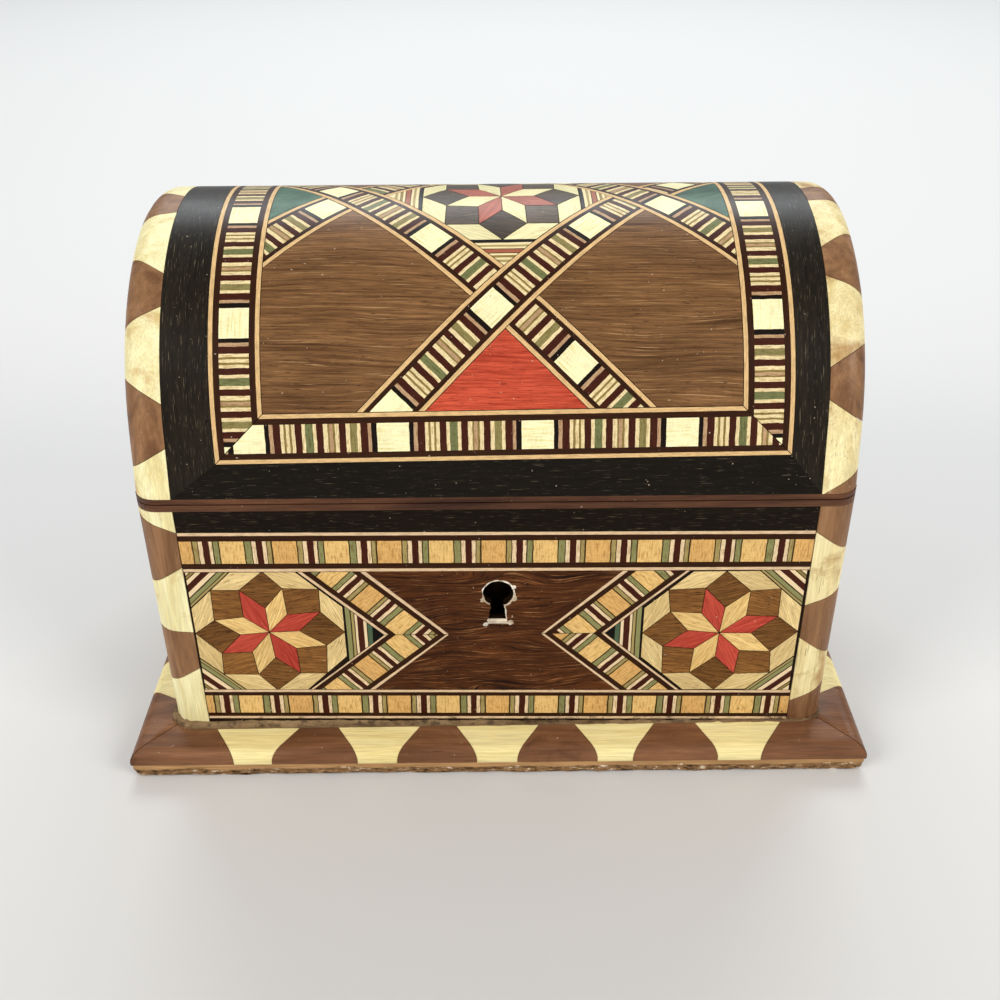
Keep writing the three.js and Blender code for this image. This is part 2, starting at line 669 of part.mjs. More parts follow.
function lidEndPanel(sideX) {
  const [xLow, xHigh] = sideX < 0
    ? [-HALF_WIDTH, -HALF_WIDTH + VENEER_THICKNESS]
    : [HALF_WIDTH - VENEER_THICKNESS, HALF_WIDTH];
  return lengthwisePrism(lidOutline(STRIP_WIDTH + GLUE_GAP, LID_LIP_TOP), xLow, xHigh);
}

function lidEdgeStrip(sideX) {
  const section = sideX < 0 ? mirrorX(stripSection()) : stripSection();
  const room = HALF_WIDTH + OVERCUT;
  const below = block(-room, room, -BODY_DEPTH, BODY_DEPTH, BODY_TOP - 4 * OVERCUT, LID_LIP_TOP);
  return cut(followLid(section), [below]);
}

// Everything outside the leaning faces, over the height of the lid's lipping
function outsideLean(sideY) {
  const zLow = LID_BOTTOM - OVERCUT;
  const zHigh = LID_LIP_TOP + OVERCUT;
  const far = HALF_DEPTH + 2 * OVERCUT;
  const section = [[leanOut(zLow, 0), zLow], [far, zLow], [far, zHigh], [leanOut(zHigh, 0), zHigh]];
  const room = HALF_WIDTH + OVERCUT;
  return lengthwisePrism(section.map(([y, z]) => [sideY * y, z]), -room, room);
}

function lidLip(axis, side) {
  const strip = uprightPrism(lipOutline(axis, side), LID_BOTTOM, LID_LIP_TOP);
  const tools = [outsideLean(-1), outsideLean(1), rimBevel(LID_LIP_TOP, LID_BOTTOM)];
  if (axis === 'x' && side > 0) {
    tools.push(...hingeRoom(-1));
  }
  if (axis === 'x' && side < 0) {
    tools.push(catchRecess());
  }
  return cut(strip, tools);
}

// Felt lining
function floorLining() {
  const halfWidth = INNER_HALF_WIDTH - GLUE_GAP;
  const halfDepth = INNER_HALF_DEPTH - GLUE_GAP;
  return block(-halfWidth, halfWidth, -halfDepth, halfDepth, BASE_THICKNESS, BASE_THICKNESS + FELT_THICKNESS);
}

function wallLining() {
  const zLow = BASE_THICKNESS + FELT_THICKNESS + GLUE_GAP;
  const zHigh = WALL_TOP - LINING_MARGIN;
  const outer = [INNER_HALF_WIDTH - GLUE_GAP, INNER_HALF_DEPTH - GLUE_GAP];
  const inner = outer.map((half) => half - FELT_THICKNESS);
  const band = block(-outer[0], outer[0], -outer[1], outer[1], zLow, zHigh);
  const inside = block(-inner[0], inner[0], -inner[1], inner[1], zLow - OVERCUT, zHigh + OVERCUT);
  const lockHalf = LOCK_PLATE_HALF_WIDTH + LOCK_CUTOUT_MARGIN;
  const lockLow = LOCK_PLATE_BOTTOM - LOCK_CUTOUT_MARGIN;
  const lockSpace = block(-lockHalf, lockHalf, -HALF_DEPTH, 0, lockLow, zHigh + OVERCUT);
  return cut(band, [inside, lockSpace]);
}

// An arch inside the lid: up the rails, then round under the shell
function liningOutline(inset) {
  const half = INNER_HALF_DEPTH - inset;
  const radius = SHELL_INNER_RADIUS - inset;
  const start = Math.acos(half / radius);
  const foot = LID_LIP_TOP + LINING_MARGIN;
  return [[half, foot], ...arc(0, ARCH_CENTRE, radius, start, Math.PI - start, ARCH_STEPS), [-half, foot]];
}

function lidLining() {
  const half = INNER_HALF_WIDTH - FELT_THICKNESS - 2 * GLUE_GAP;
  const section = [...liningOutline(GLUE_GAP), ...liningOutline(GLUE_GAP + FELT_THICKNESS).reverse()];
  return lengthwisePrism(section, -half, half);
}

function lidEndLining(sideX) {
  const far = INNER_HALF_WIDTH - GLUE_GAP;
  const near = far - FELT_THICKNESS;
  const [xLow, xHigh] = sideX < 0 ? [-far, -near] : [near, far];
  return lengthwisePrism(liningOutline(GLUE_GAP), xLow, xHigh);
}

// Slots in the lock's top for the catch's lugs
function catchSlots() {
  const half = CATCH_LUG_THICKNESS / 2 + CATCH_SLOT_PLAY;
  const front = CATCH_Y - CATCH_LUG_WIDTH / 2 - CATCH_SWING_ROOM;
  const back = CATCH_Y + CATCH_LUG_WIDTH / 2 + CATCH_SLOT_PLAY / 2;
  const zLow = LOCK_CASE_TOP - LOCK_CASE_SHEET - OVERCUT;
  return [-1, 1].map((end) => {
    const x = (end * CATCH_LUG_SPACING) / 2;
    return block(x - half, x + half, front, back, zLow, BODY_TOP + OVERCUT);
  });
}

function lockPlate() {
  const half = LOCK_PLATE_HALF_WIDTH;
  const upright = block(-half, half, LOCK_BACK_Y, LOCK_FACE_Y, LOCK_PLATE_BOTTOM, BODY_TOP);
  const flange = block(-half, half, LOCK_FRONT_Y - LOCK_TOP_OVERHANG, LOCK_FACE_Y, LOCK_CASE_TOP, BODY_TOP);
  const pinLength = DRILL_PIN_LENGTH + LOCK_PLATE_THICKNESS;
  const pin = new THREE.CylinderGeometry(DRILL_PIN_RADIUS, DRILL_PIN_RADIUS, pinLength, KNUCKLE_SIDES);
  pin.translate(0, LOCK_FACE_Y - pinLength / 2, KEYHOLE_Z);
  return cut(join([upright, flange, pin]), catchSlots());
}

function lockCase() {
  const half = LOCK_CASE_HALF_WIDTH;
  const tray = block(-half, half, LOCK_FRONT_Y, LOCK_BACK_Y, LOCK_CASE_BOTTOM, LOCK_CASE_TOP);
  const inside = block(
    -half + LOCK_CASE_SHEET,
    half - LOCK_CASE_SHEET,
    LOCK_FRONT_Y + LOCK_CASE_SHEET,
    LOCK_BACK_Y + OVERCUT,
    LOCK_CASE_BOTTOM + LOCK_CASE_SHEET,
    LOCK_CASE_TOP - LOCK_CASE_SHEET,
  );
  const opening = keyhole(LOCK_FRONT_Y - OVERCUT, LOCK_FRONT_Y + LOCK_CASE_SHEET + OVERCUT);
  return cut(tray, [inside, opening, ...catchSlots()]);
}

// The bolt, seen from the front: a bar with two noses on arms, and a tail that the key turns
function boltOutline() {
  const tips = [-CATCH_LUG_SPACING / 2 - LUG_TO_BOLT, CATCH_LUG_SPACING / 2 - LUG_TO_BOLT];
  const armHigh = tips.map((tip) => tip - BOLT_TRAVEL - BOLT_ARM_WIDTH);
  const armLow = armHigh.map((edge) => edge + BOLT_ARM_WIDTH);
  const noseTop = BOLT_NOSE_Z + BOLT_NOSE_HEIGHT / 2;
  const noseBottom = BOLT_NOSE_Z - BOLT_NOSE_HEIGHT / 2;
  const barTop = noseBottom - BOLT_BAR_BELOW_NOSE;
  const barBottom = barTop - BOLT_BAR_HEIGHT;
  const tailBottom = KEYHOLE_Z + BOLT_TAIL_ABOVE_KEY;
  const barRight = LOCK_CASE_HALF_WIDTH - LOCK_CASE_SHEET - LOCK_CLEARANCE - BOLT_TRAVEL;
  const talon = -BOLT_TRAVEL / 2;
  const tailRight = talon + BOLT_TAIL_WIDTH / 2;
  const tailLeft = talon - BOLT_TAIL_WIDTH / 2;
  return [
    [armHigh[0], barBottom],
    [tailLeft, barBottom],
    [tailLeft, tailBottom],
    [talon - TALON_WIDTH / 2, tailBottom],
    [talon - TALON_WIDTH / 2, tailBottom + TALON_DEPTH],
    [talon + TALON_WIDTH / 2, tailBottom + TALON_DEPTH],
    [talon + TALON_WIDTH / 2, tailBottom],
    [tailRight, tailBottom],
    [tailRight, barBottom],
    [barRight, barBottom],
    [barRight, barTop],
    [armLow[1], barTop],
    [armLow[1], noseBottom],
    [tips[1], noseBottom],
    [tips[1], noseTop],
    [armHigh[1], noseTop],
    [armHigh[1], barTop],
    [armLow[0], barTop],
    [armLow[0], noseBottom],
    [tips[0], noseBottom],
    [tips[0], noseTop],
    [armHigh[0], noseTop],
  ];
}

function lockBolt() {
  return depthPrism(boltOutline(), BOLT_Y - BOLT_THICKNESS / 2, BOLT_Y + BOLT_THICKNESS / 2);
}

// A flat spring bent down from the side of the case onto the bolt's bar
function lockSpring() {
  const right = LOCK_CASE_HALF_WIDTH - LOCK_CASE_SHEET - LOCK_CLEARANCE;
  const rest = BOLT_NOSE_Z - BOLT_NOSE_HEIGHT / 2 - BOLT_BAR_BELOW_NOSE + LOCK_CLEARANCE;
  const bend = (width, rise) => arc(0, 0, 1, -Math.PI / 2, 0, CORNER_STEPS).map(([across, up]) => [
    right - SPRING_WIDTH + across * width,
    rest + SPRING_RISE + up * rise,
  ]);
  const outer = bend(SPRING_WIDTH, SPRING_RISE);
  const inner = bend(SPRING_WIDTH - SPRING_THICKNESS, SPRING_RISE - SPRING_THICKNESS).reverse();
  return depthPrism([...outer, ...inner], BOLT_Y - BOLT_THICKNESS / 2, BOLT_Y + BOLT_THICKNESS / 2);
}

// Catch
function catchRecess() {
  const half = CATCH_PLATE_LENGTH / 2 + GLUE_GAP;
  const reach = CATCH_PLATE_DEPTH / 2 + GLUE_GAP;
  const depth = CATCH_PLATE_THICKNESS + GLUE_GAP;
  return block(-half, half, CATCH_Y - reach, CATCH_Y + reach, LID_BOTTOM - OVERCUT, LID_BOTTOM + depth);
}

function lockCatch() {
  const half = CATCH_PLATE_LENGTH / 2;
  const plateTop = LID_BOTTOM + CATCH_PLATE_THICKNESS;
  const reach = CATCH_PLATE_DEPTH / 2;
  const plate = block(-half, half, CATCH_Y - reach, CATCH_Y + reach, LID_BOTTOM, plateTop);
  const holeLow = BOLT_NOSE_Z - BOLT_NOSE_HEIGHT / 2 - CATCH_HOLE_PLAY;
  const holeHigh = BOLT_NOSE_Z + BOLT_NOSE_HEIGHT / 2 + CATCH_HOLE_PLAY;
  const holeReach = BOLT_THICKNESS / 2 + CATCH_HOLE_SIDE_PLAY;
  const hole = block(-half, half, CATCH_Y - holeReach, CATCH_Y + holeReach, holeLow, holeHigh);
  const lugHalf = CATCH_LUG_THICKNESS / 2;
  const lugReach = CATCH_LUG_WIDTH / 2;
  const lugFoot = holeLow - CATCH_LUG_FOOT;
  const lugs = [-1, 1].map((end) => {
    const x = (end * CATCH_LUG_SPACING) / 2;
    return block(x - lugHalf, x + lugHalf, CATCH_Y - lugReach, CATCH_Y + lugReach, lugFoot, plateTop);
  });
  return cut(join([plate, ...lugs]), [hole]);
}

// Hinges. The body's leaf has the two outer knuckles and the lid's leaf the middle one.
function knuckleSpans(sideX) {
  const middle = sideX * HINGE_X;
  const length = (HINGE_LENGTH - 2 * KNUCKLE_GAP) / 3;
  return [-1, 0, 1].map((place) => {
    const centre = middle + place * (length + KNUCKLE_GAP);
    return [centre - length / 2, centre + length / 2];
  });
}

function hingeLeaf(sideX, facing) {
  const spans = knuckleSpans(sideX);
  const own = facing > 0 ? [spans[0], spans[2]] : [spans[1]];
  const other = facing > 0 ? [spans[1]] : [spans[0], spans[2]];
  const middle = sideX * HINGE_X;
  const half = HINGE_LENGTH / 2;
  const [zLow, zHigh] = facing > 0
    ? [BODY_TOP - HINGE_LEAF_THICKNESS, BODY_TOP]
    : [LID_BOTTOM, LID_BOTTOM + HINGE_LEAF_THICKNESS];
  const plate = block(middle - half, middle + half, HINGE_Y - HINGE_LEAF_REACH, HINGE_Y, zLow, zHigh);
  const knuckles = own.map(([low, high]) => (
    rodAlongX(KNUCKLE_RADIUS, low, high, HINGE_Y, HINGE_Z, KNUCKLE_SIDES)
  ));
  const room = other.map(([low, high]) => rodAlongX(
    KNUCKLE_RADIUS + KNUCKLE_CLEARANCE,
    low - KNUCKLE_GAP,
    high + KNUCKLE_GAP,
    HINGE_Y,
    HINGE_Z,
    KNUCKLE_SIDES,
  ));
  const bore = rodAlongX(
    HINGE_PIN_RADIUS + HINGE_PIN_CLEARANCE,
    middle - HINGE_LENGTH,
    middle + HINGE_LENGTH,
    HINGE_Y,
    HINGE_Z,
    KNUCKLE_SIDES,
  );
  const leaf = join([cut(plate, room), ...knuckles]);
  return cut(leaf, [bore, ...hingeScrews(sideX, facing, SCREW_HOLE_CLEARANCE / 2)]);
}

function hingePin(sideX) {
  const middle = sideX * HINGE_X;
  const half = HINGE_LENGTH / 2 + HINGE_PIN_OVERHANG;
  return rodAlongX(HINGE_PIN_RADIUS, middle - half, middle + half, HINGE_Y, HINGE_Z, KNUCKLE_SIDES);
}

// The body of the box
const SIDES = [['front', 'x', -1], ['back', 'x', 1], ['left', 'y', -1], ['right', 'y', 1]];
addPart('base_board', baseBoard(), PLYWOOD);
for (const [name, axis, side] of SIDES) {
  addPart(`plinth_${name}`, plinthMoulding(axis, side), MAHOGANY);
}
addPart('front_wall', frontWall(), CARCASS);
addPart('back_wall', backWall(), CARCASS);
addPart('left_wall', sideWall(-1), CARCASS);
addPart('right_wall', sideWall(1), CARCASS);
addPart('front_panel', facePanel(-1), MARQUETRY);
addPart('back_panel', facePanel(1), MARQUETRY);
addPart('left_panel', endPanel(-1), MARQUETRY);
addPart('right_panel', endPanel(1), MARQUETRY);
for (const [depthName, sideY] of [['front', -1], ['back', 1]]) {
  for (const [widthName, sideX] of [['left', -1], ['right', 1]]) {
    const strip = standAtCorner(stripSection(), sideX, sideY, BASE_THICKNESS, WALL_TOP);
    addPart(`corner_strip_${depthName}_${widthName}`, strip, STRIP_INLAY);
  }
}
for (const [name, axis, side] of SIDES) {
  addPart(`body_lip_${name}`, bodyLip(axis, side), MAHOGANY);
}
addPart('floor_lining', floorLining(), FELT);
addPart('wall_lining', wallLining(), FELT);

// The lid
addPart('lid_rail_front', lidRail(-1), CARCASS);
addPart('lid_rail_back', lidRail(1), CARCASS);
addPart('lid_end_left', lidEnd(-1), CARCASS);
addPart('lid_end_right', lidEnd(1), CARCASS);
addPart('lid_shell', lidShell(), PLYWOOD);
addPart('lid_panel_top', lidTopPanel(), EBONY);
addPart('lid_panel_left', lidEndPanel(-1), MARQUETRY);
addPart('lid_panel_right', lidEndPanel(1), MARQUETRY);
addPart('lid_edge_strip_left', lidEdgeStrip(-1), STRIP_INLAY);
addPart('lid_edge_strip_right', lidEdgeStrip(1), STRIP_INLAY);
for (const [name, axis, side] of SIDES) {
  addPart(`lid_lip_${name}`, lidLip(axis, side), MAHOGANY);
}
addPart('lid_lining', lidLining(), FELT);
addPart('lid_end_lining_left', lidEndLining(-1), FELT);
addPart('lid_end_lining_right', lidEndLining(1), FELT);

// Lock, catch and hinges
addPart('lock_plate', lockPlate(), BRASS);
addPart('lock_case', lockCase(), STEEL);
addPart('lock_bolt', lockBolt(), STEEL);
addPart('lock_spring', lockSpring(), STEEL);
addPart('lock_catch', lockCatch(), BRASS);
for (const [name, sideX] of [['left', -1], ['right', 1]]) {
  addPart(`hinge_body_leaf_${name}`, hingeLeaf(sideX, 1), BRASS);
  addPart(`hinge_lid_leaf_${name}`, hingeLeaf(sideX, -1), BRASS);
  addPart(`hinge_pin_${name}`, hingePin(sideX), STEEL);
  hingeScrews(sideX, 1, 0).forEach((one, i) => addPart(`hinge_body_screw_${name}_${i + 1}`, one, BRASS));
  hingeScrews(sideX, -1, 0).forEach((one, i) => addPart(`hinge_lid_screw_${name}_${i + 1}`, one, BRASS));
}

export default box;
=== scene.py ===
import math
import random

import bmesh
import bpy
from mathutils import Matrix, Vector


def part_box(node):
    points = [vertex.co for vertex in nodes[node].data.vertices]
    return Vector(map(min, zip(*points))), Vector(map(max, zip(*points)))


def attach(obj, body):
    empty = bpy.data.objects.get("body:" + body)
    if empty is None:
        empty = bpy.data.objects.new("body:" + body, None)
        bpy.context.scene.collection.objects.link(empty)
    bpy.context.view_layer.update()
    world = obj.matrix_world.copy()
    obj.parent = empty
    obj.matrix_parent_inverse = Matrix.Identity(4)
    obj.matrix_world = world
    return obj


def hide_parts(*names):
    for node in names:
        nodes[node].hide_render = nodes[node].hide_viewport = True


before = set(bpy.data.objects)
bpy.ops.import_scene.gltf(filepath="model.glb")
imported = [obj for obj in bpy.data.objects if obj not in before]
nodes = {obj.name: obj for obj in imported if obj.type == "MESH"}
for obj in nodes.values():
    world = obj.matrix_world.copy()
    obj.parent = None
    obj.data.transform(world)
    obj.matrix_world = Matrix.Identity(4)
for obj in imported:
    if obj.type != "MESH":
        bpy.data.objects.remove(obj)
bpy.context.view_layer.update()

# A marquetry box with a domed lid. The veneers, edge strips, plinth blocks, filler, worn base board and
# felts are made here, and the frame's other nodes are coloured. Sizes are in millimetres.

MM = 0.001
chance = random.Random(7)

# Sizes read from the frame

plinth_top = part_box("plinth_front")[1].z / MM
body_low, body_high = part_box("front_panel")
panel_half_width = body_high.x / MM
body_front = -body_low.y / MM
veneer_top = body_high.z / MM
strip_low, strip_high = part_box("corner_strip_front_left")
body_side = -strip_low.x / MM
strip_inside = -strip_high.x / MM
strip_depth_inside = -strip_high.y / MM
lid_low, lid_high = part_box("lid_panel_top")
lid_top = lid_high.z / MM
lid_foot = lid_low.z / MM

# The lid's arch, and how the veneer lies

ARCH_RADIUS = 42.4
ARCH_CENTRE = lid_top - ARCH_RADIUS
ARCH_HALF = math.radians(77.39)  # from the crest round to where the straight wall starts
ARC_RUN = ARCH_RADIUS * ARCH_HALF
WALL_RUN = (ARCH_CENTRE + ARCH_RADIUS * math.cos(ARCH_HALF) - lid_foot) / math.sin(ARCH_HALF)
SHEET_HALF = ARC_RUN + WALL_RUN
SLICE = 1.5  # the lid's veneer is cut this fine before it is bent

VENEER = 0.3
PROUD = 0.04
GLUE_LINE = 0.08
FINE_JOINT = 0.01

# The lid's pattern, laid flat: x across, s over the arch from front to back

PATTERN_X = 0.9
PATTERN_S = -1.8
PATTERN_TURN = math.radians(0.5)
FRAME_HALF_WIDTH = 55.7
FRAME_HALF_RUN = 61.2
FRAME_BAND = 9.9
FRAME_INSIDE = (FRAME_HALF_WIDTH - FRAME_BAND, FRAME_HALF_RUN - FRAME_BAND)
LATTICE_BAND = 9.3
LATTICE_HALF = LATTICE_BAND / 2 * math.sqrt(2)  # a slanting band's half width, along x or s
# The lattice's bands lie on slanting lines: x + s stays the same on a falling one, x - s on a rising one
FALLING_FRONT = -28.4
FALLING_BACK = 28.8
RISING_BACK = -30.0
RISING_FRONT = 29.9
BEYOND = 200.0  # well outside the pattern
MEDALLION = 16.0
MEDALLION_CENTRE = (0.6, 0.0)
DARK_SQUARE = 0.84  # a star's squares are darker and paler by turns
PALE_SQUARE = 1.1
END_ROUND_STEPS = 28  # the lid's ends carry a D of ebony, with a string round a walnut field
END_BORDER = 4.2
END_STRING = 1.1

# The front's pattern: its bands slope a little, by so much for each millimetre to the right

UPPER_BAND = 9.6
UPPER_TOP = 58.05
UPPER_SLOPE = -0.006
LOWER_BAND = 8.3
LOWER_TOP = 17.0
LOWER_SLOPE = -0.0135
TIP_Z = 32.3
STAR_APOTHEM = 15.7
# Each chevron's distances from the front's middle: its two edges at the tip and where they meet the bands
LEFT_CHEVRON = {"inner_tip": 23.8, "outer_tip": 10.1, "inner_top": 40.6, "outer_top": 26.6}
RIGHT_CHEVRON = {"inner_tip": 22.5, "outer_tip": 9.0, "inner_top": 39.3, "outer_top": 25.5}

SCAR_HALF_WIDTH = 4.8
SCAR_FOOT = 33.2
SCAR_TOP = 47.2
KEYHOLE_X = 0.2
KEYHOLE_HEAD_Z = 42.8
SLOT_SHIFT = -0.3  # the slot sits this far to the side of the head's middle
SLOT_SHARE = 0.82  # the slot's width for each millimetre of the head's radius
SLOT_FLARE = 1.5
KEYHOLE_CHIPS = [
    (3.3, 41.5, 0.8), (-3.0, 41.2, 0.65), (-2.5, 34.9, 0.6), (2.7, 35.3, 0.7), (3.4, 44.4, 0.5),
]

# The edge inlay's joints: where each one leaves the inner edge and reaches the outer edge

LEFT_LID_JOINTS = [
    (-60.2, -64.7), (-51.5, -46.4), (-32.6, -36.4), (-25.5, -20.4), (-8.0, -10.0), (-0.1, 4.5),
    (18, 10), (26, 34), (44, 36), (52, 60), (64, 68),
]
RIGHT_LID_JOINTS = [
    (-70.8, -66.0), (-51.7, -56.8), (-45.5, -40.5), (-27.2, -30.6), (-20.3, -14.6), (-5.1, -4.4),
    (2.0, 4.9), (20, 12), (27, 34), (45, 37), (52, 60), (64, 68),
]
LEFT_BODY_JOINTS = [(23.7, 18.9), (33.3, 34.0), (49.9, 45.0), (58.2, 61.8)]
RIGHT_BODY_JOINTS = [(13.0, 17.0), (30.5, 24.7), (38.9, 42.2), (57.2, 51.6)]
PLINTH_FRONT_JOINTS = [
    (-61.9, -57.3), (-43.7, -49.1), (-35.2, -30.5), (-17.3, -22.0), (-9.2, -4.7),
    (8.7, 4.0), (17.0, 21.4), (34.0, 29.0), (43.5, 47.4), (61.8, 56.7),
]
PLINTH_SIDE_JOINTS = [(-36, -31.5), (-18, -22.5), (-9, -4.5), (9, 4.5), (18, 22.5), (36, 31.5)]
PLINTH_INNER = 1.0  # its joints run from this far outside the body to this far
PLINTH_REACH = 8.4
SAW_GAP = 0.05
MITRE_GAP = 0.1
PAST_CREST = 14  # a block of the lid's edge is kept to its own half of the arch and this much more

STRIP_ROUND = 4.5
# The filler's width and height at each corner of the foot
BEAD_SIZES = [(1.3, 1.55), (0.6, 0.4), (0.7, 0.7), (1.1, 1.1)]
BEAD_STEP = 1.8
BEAD_SUNK = 0.15
BEAD_DROP = 0.6  # the outer edge is this much lower than the inner one, for a bead 1 mm high
BEAD_RAGGED = 0.34
BEAD_IN_BODY = 0.08
WEAR_STEP = 3.1
WEAR_DEPTH = 1.8


# Small tools of the bench


def times(values, share):
    return [value * share for value in values]


def metres(place):
    return times(place, MM)


def deselect():
    bpy.ops.object.select_all(action="DESELECT")


def take(piece):
    """Makes this piece the only one in hand."""
    deselect()
    piece.select_set(True)
    bpy.context.view_layer.objects.active = piece


def edit(piece):
    take(piece)
    bpy.ops.object.mode_set(mode="EDIT")


def done():
    bpy.ops.object.mode_set(mode="OBJECT")


def take_all():
    """In edit mode, takes everything that isn't hidden."""
    bpy.ops.mesh.select_all(action="SELECT")


def pick(piece, wanted):
    """In edit mode, takes the points of which wanted(place in millimetres) is true."""
    bpy.ops.mesh.select_all(action="DESELECT")
    mesh = bmesh.from_edit_mesh(piece.data)
    for vertex in mesh.verts:
        vertex.select = bool(wanted(vertex.co / MM))
    mesh.select_flush(True)
    bmesh.update_edit_mesh(piece.data)


def saw(place, normal, fill=True):
    """Saws the piece in edit mode and throws away what lies beyond the cut."""
    take_all()
    bpy.ops.mesh.bisect(plane_co=place, plane_no=normal, clear_outer=True, use_fill=fill, threshold=1e-8)


def score(place, normal, **settings):
    """Cuts new edges all round the piece in edit mode, at a place in millimetres."""
    take_all()
    bpy.ops.mesh.bisect(plane_co=metres(place), plane_no=normal, **settings)


def roughen(amount, seed):
    """Moves the points in hand a little, each its own way."""
    bpy.ops.transform.vertex_random(offset=amount * MM, uniform=0.5, seed=seed)


def apply_place():
    """Leaves the object in hand at the origin, unturned and unscaled."""
    bpy.ops.object.transform_apply(location=True, rotation=True, scale=True)


def settle(piece, turn=(0, 0, 0), move=(0, 0, 0)):
    """Turns and moves a piece and leaves its object at the origin."""
    take(piece)
    piece.rotation_euler = turn
    piece.location = metres(move)
    apply_place()


def block_at(middle, size):
    """A plain block round its middle."""
    deselect()
    bpy.ops.mesh.primitive_cube_add(size=1, location=metres(middle), scale=metres(size))
    apply_place()
    return bpy.context.object


def finish_with(piece, kind, **settings):
    take(piece)
    modifier = piece.modifiers.new(kind.lower(), kind)
    for name, value in settings.items():
        setattr(modifier, name, value)
    bpy.ops.object.modifier_apply(modifier=modifier.name)


def carve(piece, cutter, operation="DIFFERENCE"):
    """Cuts a cutter out of a piece, or joins it on, and takes the cutter away."""
    finish_with(piece, "BOOLEAN", operation=operation, object=cutter, solver="EXACT")
    bpy.data.objects.remove(cutter)


def round_off(piece, width=0.12):
    finish_with(
        piece, "BEVEL", width=width * MM, segments=1, limit_method="ANGLE", angle_limit=math.radians(40),
        use_clamp_overlap=True,
    )


def smooth(piece, degrees=30):
    take(piece)
    bpy.ops.object.shade_smooth_by_angle(angle=math.radians(degrees))


def paint(piece, finish):
    piece.data.materials.clear()
    piece.data.materials.append(finish)


def join(pieces, name):
    deselect()
    for piece in pieces:
        piece.select_set(True)
    bpy.context.view_layer.objects.active = pieces[0]
    bpy.ops.object.join()
    pieces[0].name = name
    return pieces[0]


def copy_of(node, name):
    """A merged copy of a frame node's mesh, as a piece of its own."""
    piece = nodes[node].copy()
    piece.data = nodes[node].data.copy()
    piece.name = name
    piece.parent = None
    piece.matrix_world = Matrix.Identity(4)
    piece.data.transform(nodes[node].matrix_world)
    piece.data.materials.clear()
    bpy.context.collection.objects.link(piece)
    edit(piece)
    take_all()
    bpy.ops.mesh.remove_doubles(threshold=1e-6)
    bpy.ops.mesh.tris_convert_to_quads()
    done()
    return piece


def hand_over(piece, body, node=None):
    """Says which body a piece rides on, and which node it replaces."""
    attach(piece, body)
    if node:
        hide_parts(node)


# Node building


class Output:
    """What a node gives. A sum or comparison made with it adds another node."""

    def __init__(self, tree, socket):
        self.tree = tree
        self.socket = socket

    def math(self, operation, other=0.0):
        return add(self.tree, "Math", {0: self, 1: other}, operation=operation)

    def __add__(self, other):
        return self.math("ADD", other)

    def __sub__(self, other):
        return self.math("SUBTRACT", other)

    def __mul__(self, other):
        return self.math("MULTIPLY", other)

    def __truediv__(self, other):
        return self.math("DIVIDE", other)

    def __gt__(self, other):
        return self.math("GREATER_THAN", other)

    def __abs__(self):
        return self.math("ABSOLUTE")


def connect(tree, node, inputs):
    """Feeds a node's inputs with other nodes' outputs or with plain values."""
    for name, value in inputs.items():
        if isinstance(value, Output):
            tree.links.new(value.socket, node.inputs[name])
        else:
            node.inputs[name].default_value = value


def add(tree, kind, inputs=None, output=0, **settings):
    """Adds a node and gives one of its outputs."""
    node = tree.nodes.new("ShaderNode" + kind)
    for name, value in settings.items():
        setattr(node, name, value)
    connect(tree, node, inputs or {})
    return Output(tree, node.outputs[output])


def blank(name):
    material = bpy.data.materials.new(name)
    material.use_nodes = True
    return material, material.node_tree


def surface(tree, inputs):
    connect(tree, tree.nodes["Principled BSDF"], inputs)


def object_place(tree):
    return add(tree, "TexCoord", output="Object")


def grain_place(tree):
    return add(tree, "UVMap", uv_map="grain")


def part_of(vector, axis):
    return add(vector.tree, "SeparateXYZ", {"Vector": vector}, axis)


def stretched(source, scale, move=(0, 0, 0)):
    return add(source.tree, "Mapping", {"Vector": source, "Scale": scale, "Location": move})


def noise(vector, scale=1.0, detail=3.0, roughness=0.55, distortion=0.0):
    shape = {"Scale": scale, "Detail": detail, "Roughness": roughness, "Distortion": distortion}
    return add(vector.tree, "TexNoise", {"Vector": vector, **shape})


def grained(grain, length, width, detail=3.0, roughness=0.55, distortion=0.0, move=(0, 0, 0)):
    """Noise in patches of this length along the grain and this width across it."""
    return noise(stretched(grain, (1 / length, 1 / width, 1), move), 1, detail, roughness, distortion)


def spread(value, low, high, to_low=0.0, to_high=1.0):
    inputs = {"Value": value, "From Min": low, "From Max": high, "To Min": to_low, "To Max": to_high}
    return add(value.tree, "MapRange", inputs)


def rgb(colour):
    """A screen colour, from 0 to 255, turned to linear light."""
    def linear(value):
        value /= 255
        return value / 12.92 if value <= 0.04045 else ((value + 0.055) / 1.055) ** 2.4
    return (*(linear(value) for value in colour), 1)


def blend(factor, first, second, kind="MIX"):
    """Mixes two colours, each an output or a screen colour."""
    first, second = (colour if isinstance(colour, Output) else rgb(colour) for colour in (first, second))
    return add(factor.tree, "Mix", {0: factor, 6: first, 7: second}, 2, data_type="RGBA", blend_type=kind)


def shaded(colour, value):
    return add(colour.tree, "HueSaturation", {"Color": colour, "Value": value})


def raised(height, strength, distance):
    return add(height.tree, "Bump", {"Height": height, "Strength": strength, "Distance": distance * MM})


def width_of(layers):
    return sum(width for width, colour in layers)


def bands(share, layers):
    """Layers of (width, colour) side by side, as share goes from 0 to 1 over all of them."""
    ramp = add(share.tree, "ValToRGB", {"Fac": share})
    scale = ramp.socket.node.color_ramp
    scale.interpolation = "CONSTANT"
    total = width_of(layers)
    reached = 0.0
    for index, (width, colour) in enumerate(layers):
        stop = scale.elements[index] if index < 2 else scale.elements.new(reached / total)
        stop.position = reached / total
        stop.color = rgb(colour)
        reached += width
    return ramp


# How the finishes are made


